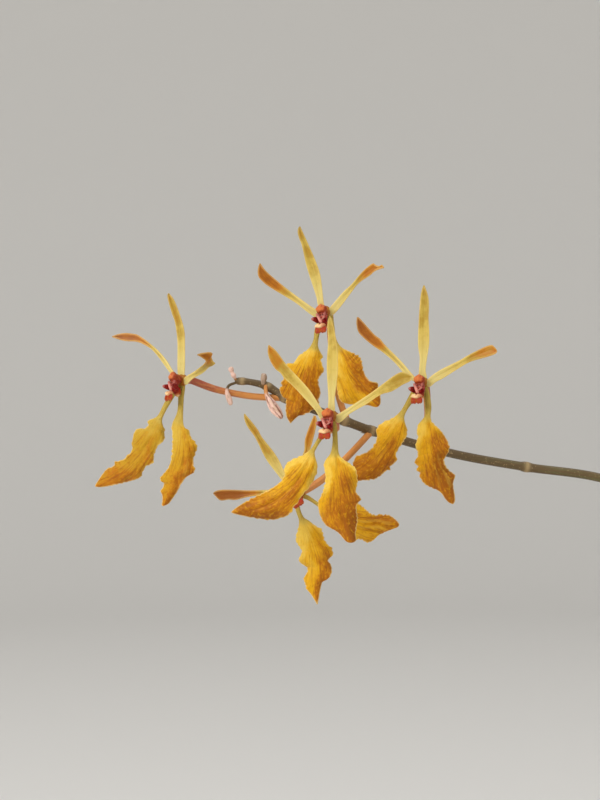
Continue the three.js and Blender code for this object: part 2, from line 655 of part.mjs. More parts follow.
// The flower stem tapers to its tip, with a swollen ring at each node and its bracts
function flowerStemSolid(clearance) {
  const radiusAt = (s) => {
    const nearest = Math.min(...STEM_NODES.map((at) => Math.abs(s - at)));
    const swelling = nearest < NODE_REACH / 2 ? 0.3 : 0;
    const base = THREE.MathUtils.lerp(PEDUNCLE_RADIUS, RACHIS_RADIUS, smoothstep(0, 0.5, s));
    return base * (1 - 0.35 * smoothstep(0.93, 1, s)) + swelling + clearance;
  };
  const plainStations = evenStations(36).filter((s) => (
    STEM_NODES.every((at) => Math.abs(s - at) > 2 * NODE_REACH)));
  const nodeStations = STEM_NODES.flatMap((at) => [at - NODE_REACH, at, at + NODE_REACH]);
  const stations = [...plainStations, ...nodeStations].sort((a, b) => a - b);
  const stem = solidOf(tubeGeometry(FLOWER_STEM_ROUTE, radiusAt, 8, stations));
  return BRACTS.reduce((whole, bract) => whole.add(solidOf(bractGeometry(bract, clearance))), stem);
}

function makeFlowerStem(stemRoom) {
  return pieceOf('flower_stem', geometryOf(flowerStemSolid(0).subtract(stemRoom)), 'flowerStem');
}

function makeBuds(sprayRoom) {
  return BUDS.map((bud, i) => {
    const radiusAt = (s) => {
      const swell = Math.exp(-(((s - bud.widest) / 0.28) ** 2));
      return (bud.neck + (bud.belly - bud.neck) * swell) * (1 - smoothstep(0.8, 1.05, s) * 0.8);
    };
    const middle = bud.from.map((value, k) => (value + bud.to[k]) / 2);
    middle[1] -= bud.bend;
    const body = tubeGeometry([bud.from, middle, bud.to], radiusAt, 8, evenStations(7));
    return pieceOf(`bud_${i + 1}`, geometryOf(solidOf(body).subtract(sprayRoom)), 'bud');
  });
}

// The bloom's own axes: right, up toward the dorsal sepal, and out of its face
function bloomFrame(bloom) {
  const facing = THREE.MathUtils.degToRad(bloom.facing);
  const nod = THREE.MathUtils.degToRad(bloom.nod);
  const lean = THREE.MathUtils.degToRad(bloom.lean);
  const out = new THREE.Vector3(
    -Math.sin(facing) * Math.cos(nod), -Math.cos(facing) * Math.cos(nod), -Math.sin(nod));
  const plumb = new THREE.Vector3(0, 0, 1).projectOnPlane(out).normalize();
  const level = plumb.clone().cross(out);
  const up = plumb.clone().multiplyScalar(Math.cos(lean)).addScaledVector(level, -Math.sin(lean));
  const right = up.clone().cross(out);
  const hub = sightPoint(...bloom.hub, bloom.depth);
  return new THREE.Matrix4().makeBasis(right, up, out).setPosition(hub);
}

// Depth of the bloom's own plane at an offset from its hub
function planeDepth(bloom, x, z) {
  const sideways = Math.tan(THREE.MathUtils.degToRad(bloom.facing));
  const downward = Math.tan(THREE.MathUtils.degToRad(bloom.nod));
  return bloom.depth - x * sideways - z * downward;
}

// Broad sepal between its two drawn edges, bowed forward along its length, arched
// across, with its margins waved
function sepalSurface(bloom, sepal) {
  const rooted = [sepal.edges[0].map((value) => value * SEPAL_ROOT), ...sepal.edges];
  const edgeCurve = (k) => new THREE.SplineCurve(
    rooted.map((chord) => new THREE.Vector2(chord[k], chord[k + 1])));
  const first = edgeCurve(0);
  const second = edgeCurve(2);
  return (u, v) => {
    const a = first.getPoint(u);
    const b = second.getPoint(u);
    const point = a.clone().lerp(b, (v + 1) / 2);
    const breadth = Math.min(a.distanceTo(b) / 9, 1);
    const bow = -sepal.bow * Math.sin(Math.PI * u) ** 2;
    const arch = 1.2 * v * v * breadth;
    const swing = Math.sin(2 * Math.PI * (sepal.turns * u + sepal.phase + (v > 0 ? 0.35 : 0)));
    const wave = sepal.wave * v * v * breadth * swing;
    const depth = planeDepth(bloom, point.x, point.y) + bow + arch + wave;
    return sightPoint(bloom.hub[0] + point.x, bloom.hub[1] + point.y, depth);
  };
}

// Spoon-shaped narrow tepal about its middle line, a little channelled
function narrowSurface(bloom, tepal) {
  const line = new THREE.CatmullRomCurve3(toVectors(tepal.line), false, 'catmullrom', 0.5);
  return (u, v) => {
    const centre = line.getPoint(u);
    const ahead = line.getPoint(Math.min(u + 0.02, 1)).sub(line.getPoint(Math.max(u - 0.02, 0)));
    const along = Math.hypot(ahead.x, ahead.y);
    const spread = THREE.MathUtils.lerp(tepal.claw, tepal.width, smoothstep(0.25, 0.7, u));
    const tip = u > 0.8 ? Math.sqrt(Math.max(1 - ((u - 0.8) / 0.212) ** 2, 0)) : 1;
    const half = (v * spread * tip) / 2;
    const x = centre.x + (ahead.y / along) * half;
    const z = centre.y - (ahead.x / along) * half;
    const depth = planeDepth(bloom, x, z) - centre.z - CHANNEL_DEPTH * v * v;
    return sightPoint(bloom.hub[0] + x, bloom.hub[1] + z, depth);
  };
}

function makeTepals(bloom) {
  const frame = bloomFrame(bloom);
  const depthAxis = new THREE.Vector3(0, -1, 0);
  const hub = ellipsoidGeometry([0, 0, 0], [HUB_RADIUS, HUB_RADIUS, HUB_DEPTH], 8, 4).applyMatrix4(frame);
  const sepals = bloom.sepals.map((sepal) => (
    bladeGeometry(sepalSurface(bloom, sepal), sepal.edges.length, 4, SEPAL_THICKNESS, depthAxis)));
  const narrow = bloom.narrow.map((tepal) => (
    bladeGeometry(narrowSurface(bloom, tepal), 8, 2, PETAL_THICKNESS)));
  const whole = joined([hub, ...sepals, ...narrow]);
  return pieceOf(`${bloom.name}_tepals`, geometryOf(whole), 'tepal');
}

// Column: short stout shaft under a round anther cap, in the bloom's own axes
function makeColumn(bloom) {
  const shaft = new THREE.CylinderGeometry(1.5, 1.35, 3.2, 8)
    .rotateX(Math.PI / 2)
    .translate(0, 0.3, HUB_DEPTH + GAP + 1.6);
  const cap = ellipsoidGeometry([0, 0.4, 4.7], [2.0, 1.85, 1.7], 8, 5);
  return pieceOf(`${bloom.name}_column`, geometryOf(joined([shaft, cap])), 'column');
}

// Lip under the column: hollowless throat, two side lobes and a cleft front lobe
function makeLip(bloom) {
  const throat = ellipsoidGeometry([0, -3.2, 2.7], [1.4, 1.3, 1.7], 8, 4);
  const sideLobes = [-1, 1].map((side) => (
    ellipsoidGeometry([side * 1.6, -3.2, 3.4], [0.55, 1.35, 1.3], 6, 4)));
  const frontLobes = [-1, 1].map((side) => (
    new THREE.BoxGeometry(1.75, 2.4, 1.0)
      .rotateZ(side * 0.2)
      .rotateX(-0.35)
      .translate(side * 0.85, -5.3, 3.6)));
  return pieceOf(`${bloom.name}_lip`, geometryOf(joined([throat, ...sideLobes, ...frontLobes])), 'lip');
}

// Pedicel from the flower stem to the hub's back, a little swollen at the ovary
function makePedicel(bloom, sprayRoom) {
  const frame = bloomFrame(bloom);
  const behind = [5, 2.2, HUB_DEPTH + GAP].map((depth) => (
    new THREE.Vector3(0, 0, -depth).applyMatrix4(frame).toArray()));
  const radiusAt = (s) => PEDICEL_RADIUS + 0.12 * smoothstep(0.4, 0.9, s);
  const route = [...PEDICEL_ROUTES[bloom.name], ...behind];
  const stalk = solidOf(tubeGeometry(route, radiusAt, 8, evenStations(11)));
  return pieceOf(`${bloom.name}_pedicel`, geometryOf(stalk.subtract(sprayRoom)), 'pedicel');
}

function makeBloom(bloom, sprayRoom) {
  const group = new THREE.Group();
  const heart = new THREE.Group();
  bloomFrame(bloom).decompose(heart.position, heart.quaternion, heart.scale);
  heart.add(makeColumn(bloom), makeLip(bloom));
  group.add(makeTepals(bloom), heart, makePedicel(bloom, sprayRoom));
  return group;
}

// The whole plant in its pot
const plant = new THREE.Group();
const stemRoom = stemSolid(GAP);
const sprayRoom = flowerStemSolid(GAP);
const rootRooms = ROOT_ROUTES.slice(0, 2).map((route) => solidOf(rootGeometry(route, GAP)));
plant.add(makePot());
plant.add(makeBark([stemRoom, ...rootRooms]));
plant.add(pieceOf('plant_stem', geometryOf(stemSolid(0)), 'sheath'));
plant.add(...makeLeaves());
plant.add(...makeRoots(stemRoom));
plant.add(makeFlowerStem(stemRoom));
plant.add(...makeBuds(sprayRoom));
plant.add(...BLOOMS.map((bloom) => makeBloom(bloom, sprayRoom)));

export default plant;
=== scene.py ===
"""Potted renanthera orchid: five waved blooms on an arching flower stem, a leafy upright
stem with silvery roots, and bark in a terracotta pot. Every piece is a surface worked out
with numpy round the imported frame. Shapes are worked out in millimetres and laid in metres.
"""
import math

import bpy
import numpy as np
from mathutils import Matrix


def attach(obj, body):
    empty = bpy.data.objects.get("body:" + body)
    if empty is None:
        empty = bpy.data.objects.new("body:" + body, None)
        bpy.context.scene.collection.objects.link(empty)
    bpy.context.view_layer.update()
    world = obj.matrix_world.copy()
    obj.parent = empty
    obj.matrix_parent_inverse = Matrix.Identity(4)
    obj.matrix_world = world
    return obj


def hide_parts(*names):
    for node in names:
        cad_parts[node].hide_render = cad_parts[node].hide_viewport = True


bl_info = {
    "name": "Potted renanthera orchid",
    "version": (1, 0, 0),
    "blender": (4, 5, 0),
    "location": "View3D > Sidebar > Orchid",
    "description": "Builds the blooms, plant, bark and pot of a potted renanthera orchid",
    "category": "Object",
}

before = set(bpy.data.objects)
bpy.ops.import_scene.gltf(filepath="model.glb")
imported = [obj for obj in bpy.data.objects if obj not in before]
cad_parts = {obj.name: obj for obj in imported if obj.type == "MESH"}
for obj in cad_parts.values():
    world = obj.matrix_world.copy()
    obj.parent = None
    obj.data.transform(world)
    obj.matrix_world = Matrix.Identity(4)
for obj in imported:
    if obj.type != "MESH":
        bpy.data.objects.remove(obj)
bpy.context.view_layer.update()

MM = 0.001
TURN = 2 * math.pi

# The spray's outlines are drawn in the plane y = 0 as seen from this point, and whatever
# lies nearer or farther slides along its line of sight
VIEW_POINT = np.array([-215.0, -500.0, 356.0])
LENS = 75.0

# Hub that the five tepals of a bloom grow from: half width and half depth
HUB = (1.9, 1.9, 1.0)
# Share of the way out from the hub's middle where a tepal's drawn edges are rooted
TEPAL_ROOT = 0.3
# How far the margins of a broad sepal lie behind its middle line
SEPAL_ARCH = 2.0
# Veins of a broad sepal spread from this far up its middle line; their places are angles,
# measured in millimetres at the given radius
VEIN_FOOT = 6.0
VEIN_RADIUS = 14.0
# How far the margins of a narrow tepal stand before its middle line
CHANNEL_DEPTH = 0.3
# Width of a tepal's pale rim
RIM_WIDTH = 0.45

# Grids of the surfaces: rows along and columns across, or rings along and sides round
SEPAL_GRID = (140, 47)
PETAL_GRID = (100, 21)
HUB_GRID = (11, 24)
HEART_GRID = (24, 36)
LOBE_GRID = (30, 21)
BRACT_GRID = (34, 21)
PEDICEL_GRID = (90, 28)
FLOWER_STEM_GRID = (560, 24)
BUD_GRID = (70, 32)
SHEATH_GRID = (26, 104)
LEAF_GRID = (80, 25)
ROOT_GRID = (200, 26)
# Turned bodies: sides round, step along the profile, and reach of its rounding
SHOOT_TURNING = (64, 2.4, 2.4)
BED_TURNING = (72, 2.0, 4.0)
POT_TURNING = (144, 1.25, 0.8)
# The rings of a turned body end at this radius, and a fan of faces closes it
LEAST_TURNED_RADIUS = 0.4
# Steps that a curve is measured by
CURVE_STEPS = 900
# Stretch of a pattern that is the same on every axis
EVEN = (1.0, 1.0, 1.0)

# Ways that the front of a blade looks
FORWARD = (0.0, -1.0, 0.0)
UPWARD = (0.0, 0.0, 1.0)

# Pot profile: radius and height, up the outside and down the inside
POT_PROFILE = [
    (0.0, 0.0), (44.5, 0.0), (46.0, 1.5), (59.5, 91.5), (62.5, 93.0), (65.0, 113.5), (63.5, 115.0),
    (59.0, 115.0), (57.25, 113.5), (39.5, 7.0), (0.0, 7.0),
]
DRAIN_COUNT = 4
DRAIN_RING_RADIUS = 24.0
DRAIN_RADIUS = 2.5
DRAIN_SIDES = 28
# Heights between which the drain holes are cut
DRAIN_LEVELS = (-5.0, 12.0)

# Bark bed inside the pot
BED_PROFILE = [(0.0, 7.3), (39.2, 7.3), (54.2, 96.0), (30.0, 98.0), (0.0, 99.5)]
BED_EDGE_HEIGHT = 98.0
BED_MIDDLE_HEIGHT = 102.0
BED_RADIUS = 53.6
# Chips: how many, the heights of their layers over the bed, the turn from one chip to the
# next, and the corners along each edge of one
CHIP_COUNT = 300
CHIP_LAYERS = (-1.6, 0.6, 2.6)
GOLDEN_ANGLE = 2.39996
CHIP_CORNERS = 4
CHIP_SEED = 11

# Upright stem and its leaves in two ranks
STEM_RADIUS = 5.0
SHEATH_FLARE = 0.8
STEM_FOOT = 76.0
STEM_TOP = 338.0
SHOOT_TIP = 372.0
FIRST_LEAF = 126.0
LEAF_PITCH = 19.0
LEAF_COUNT = 12
LEAF_SEAT = 3.5
LEAF_STRAY = 7.0
LEAF_LENGTH = 102.0
LEAF_WIDTH = 19.0
# Slopes of the lowest leaf at its foot and its tip, in degrees
LEAF_STEEP = 80.0
LEAF_DROOP = -42.0
# From the sheaths' widest place to the middle of a leaf's thickness
LEAF_STANDOFF = 1.0
RIGHT_RANK = 30.0
LEFT_RANK = 210.0

# Outlines of the lateral sepals: the left edge and the right edge from base to tip, each as
# x, z from the hub in the outline plane
LEFT_OUTER = [
    [(-1.8, -1.2), (-5.1, -6.5), (-7.5, -10.9), (-9.6, -11.9), (-10.4, -12.5), (-10.1, -13.5),
     (-11.0, -14.4), (-13.2, -14.6), (-14.1, -15.2), (-15.1, -19.5), (-14.9, -20.8), (-16.1, -22.3),
     (-18.0, -24.0), (-20.1, -24.5), (-20.3, -25.4), (-20.9, -26.0), (-22.5, -26.6), (-25.4, -30.5),
     (-26.0, -31.5), (-26.0, -31.9)],
    [(-0.6, -2.1), (-6.0, -12.0), (-5.6, -14.0), (-5.1, -15.0), (-5.3, -16.5), (-5.1, -17.5), (-5.6, -18.4),
     (-7.1, -19.7), (-8.1, -21.8), (-8.5, -23.8), (-8.5, -24.9), (-9.8, -25.4), (-11.3, -26.6),
     (-12.0, -28.4), (-12.6, -29.3), (-18.1, -31.0), (-24.6, -32.2), (-25.9, -32.0)],
]
LEFT_INNER = [
    [(-0.9, -1.2), (-1.4, -9.5), (-3.1, -13.7), (-2.9, -16.5), (-3.4, -24.2), (-4.4, -26.7), (-6.1, -28.7),
     (-6.7, -29.9), (-5.5, -31.0), (-5.8, -32.3), (-6.5, -33.3), (-6.0, -34.4), (-5.9, -36.3),
     (-6.1, -37.5), (-5.8, -37.8)],
    [(0.9, -1.2), (0.5, -6.0), (0.5, -13.4), (1.1, -14.5), (2.3, -15.2), (2.4, -16.4), (3.0, -17.5),
     (4.3, -19.0), (4.6, -20.3), (3.5, -23.7), (3.5, -25.5), (4.0, -26.8), (3.4, -27.9), (1.4, -29.1),
     (-0.3, -31.4), (-1.1, -33.0), (-2.6, -35.3), (-4.1, -37.2), (-5.6, -37.8)],
]
TOP_LEFT = [
    [(-1.8, -1.8), (-3.1, -5.4), (-3.5, -8.4), (-4.7, -10.7), (-8.2, -13.4), (-8.9, -14.6), (-9.7, -15.4),
     (-11.2, -15.4), (-12.2, -17.1), (-12.5, -19.8), (-13.2, -21.4), (-13.1, -22.4), (-13.7, -22.8),
     (-12.8, -25.3), (-11.9, -25.8), (-11.8, -29.7), (-11.5, -31.5), (-10.4, -33.4)],
    [(-0.3, -2.4), (-1.4, -5.7), (-2.0, -8.4), (-2.1, -10.2), (-1.4, -12.0), (-0.7, -13.1), (-1.1, -14.9),
     (-0.5, -16.5), (-0.4, -17.9), (-1.4, -19.1), (-2.0, -20.7), (-1.3, -24.5), (-1.9, -26.1),
     (-1.8, -27.3), (-2.9, -28.9), (-6.5, -30.9), (-7.7, -31.1), (-8.9, -32.0), (-10.3, -33.4)],
]
TOP_RIGHT = [
    [(0.3, -0.6), (1.2, -4.8), (2.4, -8.7), (3.6, -23.4), (4.5, -26.5), (5.5, -27.3), (10.5, -28.0),
     (13.0, -28.0), (14.8, -28.5), (15.6, -28.5)],
    [(1.8, 0.0), (2.8, -4.2), (3.1, -6.9), (3.6, -8.6), (4.8, -10.4), (10.4, -13.4), (11.0, -14.6),
     (11.6, -17.7), (12.6, -19.7), (13.9, -20.8), (15.5, -21.1), (16.0, -21.7), (16.0, -22.8),
     (16.6, -24.9), (16.7, -26.4), (16.6, -27.6), (15.9, -28.4)],
]
CENTER_LEFT = [
    [(-1.8, -2.4), (-5.7, -9.5), (-8.3, -11.6), (-11.0, -12.7), (-13.1, -14.0), (-14.0, -15.5),
     (-14.1, -16.5), (-13.9, -17.4), (-15.1, -19.6), (-17.6, -21.5), (-25.7, -25.7), (-29.6, -28.4),
     (-29.9, -28.8)],
    [(-0.3, -3.3), (-4.3, -9.5), (-5.1, -11.3), (-4.1, -14.6), (-4.1, -16.4), (-4.8, -18.5), (-6.6, -21.5),
     (-9.2, -24.6), (-9.9, -26.0), (-10.9, -26.9), (-12.2, -29.3), (-15.6, -30.8), (-18.3, -31.2),
     (-21.9, -30.8), (-26.3, -30.0), (-29.4, -29.2), (-29.9, -28.9)],
]
CENTER_RIGHT = [
    [(0.0, -2.4), (0.5, -6.6), (0.3, -9.5), (-0.2, -11.3), (-2.1, -14.1), (-1.7, -18.0), (-1.9, -20.4),
     (-2.7, -23.2), (-3.9, -25.9), (-3.9, -27.0), (-3.5, -29.3), (-2.4, -31.7), (-1.4, -32.9), (2.0, -34.9),
     (4.5, -37.6), (5.6, -38.0)],
    [(1.5, -2.1), (2.4, -11.3), (3.2, -12.5), (5.9, -14.4), (7.4, -15.7), (7.8, -17.4), (8.0, -20.0),
     (7.6, -21.8), (7.6, -23.0), (8.7, -24.2), (9.0, -25.1), (7.9, -26.4), (7.7, -28.1), (8.0, -30.8),
     (7.4, -35.7), (7.6, -37.2), (7.0, -37.8), (5.9, -38.0)],
]
RIGHT_LEFT = [
    [(-2.4, -1.8), (-6.2, -8.4), (-7.5, -9.8), (-9.4, -11.1), (-10.9, -11.6), (-12.8, -12.9),
     (-13.7, -14.1), (-13.6, -17.1), (-15.5, -20.2), (-18.1, -21.7), (-19.8, -22.3), (-20.5, -23.6),
     (-20.9, -25.2), (-22.8, -30.0)],
    [(-0.9, -2.7), (-2.9, -6.2), (-4.6, -8.6), (-5.4, -10.7), (-5.1, -12.3), (-4.5, -14.0), (-4.5, -15.9),
     (-7.8, -21.8), (-7.4, -23.3), (-8.3, -24.4), (-9.5, -25.3), (-9.5, -26.3), (-10.4, -26.5),
     (-13.8, -29.0), (-19.1, -29.7), (-22.5, -30.6)],
]
RIGHT_RIGHT = [
    [(-0.3, -1.8), (0.6, -4.5), (0.9, -8.4), (0.8, -10.4), (-1.2, -12.9), (-1.6, -14.7), (-1.3, -16.7),
     (-2.0, -19.1), (-1.4, -21.0), (-1.3, -22.2), (-2.3, -24.2), (-1.2, -25.3), (-1.8, -26.4),
     (-0.9, -27.0), (-0.6, -28.7), (0.9, -30.7), (5.4, -33.0), (6.9, -35.0), (8.1, -36.2), (9.2, -36.6)],
    [(1.5, -1.2), (2.5, -4.8), (2.8, -7.8), (2.6, -10.2), (2.9, -11.7), (6.2, -15.2), (8.3, -19.8),
     (6.7, -23.3), (6.9, -24.6), (8.0, -26.3), (10.0, -28.1), (9.5, -29.7), (9.4, -31.2), (9.9, -34.2),
     (9.9, -35.7), (9.5, -36.5)],
]
LOWER_DOWN = [
    [(-0.9, -0.9), (-1.3, -3.9), (0.0, -8.3), (-0.2, -10.2), (-1.0, -14.1), (0.8, -17.6), (-0.1, -19.9),
     (0.5, -21.1), (1.7, -21.8), (2.6, -23.0), (1.3, -26.0), (1.9, -27.2), (2.0, -28.4), (3.7, -30.6),
     (5.4, -33.4)],
    [(0.6, -1.2), (0.2, -4.2), (1.6, -7.6), (2.9, -8.3), (5.4, -10.1), (6.7, -10.7), (7.7, -14.0),
     (8.8, -15.6), (9.9, -16.5), (10.1, -18.8), (9.2, -19.5), (8.8, -20.1), (9.7, -21.8), (9.9, -23.3),
     (9.5, -24.8), (8.7, -25.8), (7.1, -26.7), (6.6, -28.2), (5.6, -33.4)],
]
LOWER_RIGHT = [
    [(1.2, -1.5), (2.9, -2.2), (6.6, -4.8), (11.4, -10.8), (14.1, -13.2), (16.2, -14.3), (17.9, -13.9),
     (19.0, -14.1), (20.1, -14.8), (21.2, -14.8), (22.7, -13.9), (23.5, -13.0), (25.5, -11.9),
     (29.4, -10.3)],
    [(0.9, 0.0), (2.5, -0.6), (6.2, -3.0), (7.5, -3.3), (14.1, -2.1), (16.6, -2.6), (18.5, -3.6),
     (21.7, -6.2), (23.4, -6.6), (24.3, -6.2), (24.9, -6.5), (26.7, -6.5), (28.2, -7.3), (29.7, -8.7),
     (30.1, -9.4), (29.8, -10.1)],
]

# Outlines of the narrow tepals of each bloom, in the same way: dorsal sepal, left and right petal
LEFT_NARROW = [
    [[(-1.0, 0.6), (-1.4, 11.6), (-1.7, 14.6), (-2.2, 17.6), (-3.1, 20.1), (-4.4, 25.4), (-4.1, 26.0)],
     [(0.6, 0.9), (0.9, 11.6), (0.8, 14.4), (0.2, 17.1), (-1.7, 22.6), (-2.7, 24.6), (-3.9, 26.0)]],
    [[(-2.1, 0.6), (-8.2, 8.3), (-9.5, 9.5), (-12.2, 11.0), (-14.0, 11.5), (-16.2, 11.6), (-18.5, 12.0),
      (-20.9, 12.9)],
     [(-1.4, 1.2), (-2.6, 2.6), (-4.8, 6.1), (-7.8, 9.4), (-13.2, 13.5), (-14.7, 13.9), (-17.0, 14.1),
      (-19.1, 13.8), (-21.0, 13.1)]],
    [[(0.8, 0.8), (4.3, 3.0), (7.0, 5.3), (7.1, 5.7), (4.6, 7.5)],
     [(1.1, -1.5), (3.3, 0.4), (6.3, 2.1), (8.4, 4.0), (9.4, 4.4), (10.0, 5.0), (9.4, 5.6), (9.0, 6.4),
      (8.9, 7.1), (9.2, 7.9), (8.7, 8.3), (5.8, 8.0), (4.6, 7.6)]],
]
TOP_NARROW = [
    [[(-2.0, 1.8), (-2.6, 4.5), (-5.4, 13.2), (-7.1, 20.4), (-7.8, 22.2), (-8.2, 23.9), (-8.0, 25.2),
      (-7.6, 25.7)],
     [(0.0, 1.2), (-0.4, 3.0), (-1.4, 11.1), (-2.9, 15.6), (-7.4, 25.6)]],
    [[(-2.1, -1.8), (-9.2, 3.0), (-17.1, 7.8), (-18.6, 9.0), (-19.9, 10.5), (-20.2, 12.0), (-20.0, 13.4),
      (-19.6, 14.5)],
     [(-2.6, 0.8), (-10.5, 6.3), (-16.7, 11.4), (-17.9, 12.6), (-19.4, 14.6)]],
    [[(0.9, 0.8), (5.7, 6.3), (7.7, 8.1), (12.0, 12.9), (14.6, 14.6), (15.2, 14.1), (16.4, 13.8),
      (17.0, 14.2), (17.7, 13.4)],
     [(1.8, -1.2), (8.0, 6.0), (9.3, 7.8), (11.0, 9.3), (13.7, 11.1), (14.6, 12.0), (15.6, 12.6),
      (17.6, 13.2)]],
]
CENTER_NARROW = [
    [[(-0.7, 1.5), (-0.9, 2.8), (-0.8, 4.8), (-1.3, 14.8), (-0.9, 22.8), (-1.1, 25.8), (-1.0, 28.2),
      (-0.5, 29.9)],
     [(1.1, 1.5), (1.1, 4.8), (2.0, 12.6), (2.0, 19.5), (0.8, 27.0), (0.2, 29.1), (-0.3, 29.9)]],
    [[(-2.7, -1.5), (-4.4, 1.2), (-7.9, 5.2), (-11.7, 9.2), (-14.2, 11.5), (-15.2, 12.9), (-16.5, 13.9),
      (-17.5, 15.2), (-18.4, 16.9), (-18.9, 18.5), (-19.0, 20.0), (-18.8, 21.1)],
     [(-2.1, 1.4), (-6.5, 7.9), (-13.4, 15.5), (-15.9, 18.9), (-17.1, 20.2), (-18.6, 21.3)]],
    [[(1.2, 0.2), (11.3, 6.5), (19.5, 12.5), (21.2, 13.2), (22.8, 12.8), (24.2, 12.0)],
     [(2.1, -2.1), (6.0, 0.9), (10.6, 3.5), (15.0, 6.4), (18.3, 7.4), (21.6, 9.4), (23.3, 10.2),
      (24.0, 10.7), (24.3, 11.6)]],
]
RIGHT_NARROW = [
    [[(-0.9, 1.5), (-0.7, 7.2), (-1.2, 11.1), (-0.4, 26.1), (0.0, 27.8), (0.5, 29.0)],
     [(1.4, 1.2), (1.1, 3.6), (2.2, 12.0), (2.0, 19.2), (2.1, 22.2), (2.0, 24.9), (1.6, 26.7),
      (0.7, 29.0)]],
    [[(-3.3, 0.6), (-8.4, 6.0), (-11.9, 9.0), (-15.0, 11.1), (-18.9, 14.7), (-19.5, 16.2), (-19.7, 18.0),
      (-19.5, 19.3)],
     [(-2.0, 1.4), (-6.0, 6.0), (-11.3, 11.4), (-12.5, 12.9), (-14.1, 14.1), (-18.9, 19.3), (-19.4, 19.5)]],
    [[(1.4, 0.6), (3.0, 2.0), (5.4, 3.6), (11.4, 6.6), (15.6, 9.0), (20.9, 11.1), (21.8, 10.5),
      (22.4, 9.6)],
     [(2.1, -1.5), (4.2, 0.0), (6.0, 0.9), (13.2, 5.4), (15.0, 6.2), (22.1, 8.5), (22.5, 9.2)]],
]
LOWER_NARROW = [
    [[(-1.8, 0.3), (-7.6, 7.0), (-10.1, 10.5), (-13.1, 16.5), (-15.7, 20.3), (-16.5, 22.8), (-16.4, 23.6)],
     [(-0.5, 1.4), (-2.4, 3.3), (-4.4, 6.5), (-5.8, 9.5), (-7.7, 12.5), (-11.3, 17.1), (-12.2, 18.8),
      (-14.0, 21.2), (-16.3, 23.8)]],
    [[(-0.6, -0.9), (-4.2, -0.5), (-9.3, -0.6), (-14.8, -1.1), (-19.1, -2.1), (-21.1, -2.0), (-23.7, -2.2),
      (-25.7, -0.2)],
     [(-0.6, 0.6), (-4.2, 1.0), (-14.8, 0.8), (-20.7, 1.0), (-23.8, 0.9), (-25.1, 0.5), (-25.7, 0.0)]],
    [[(0.2, 0.9), (0.6, 8.4), (1.0, 11.1), (1.6, 13.0), (1.7, 15.5), (2.1, 17.3), (4.4, 23.3)],
     [(1.4, 0.9), (2.1, 8.4), (2.7, 11.4), (3.6, 13.8), (5.0, 19.2), (5.4, 21.6), (5.0, 23.1)]],
]

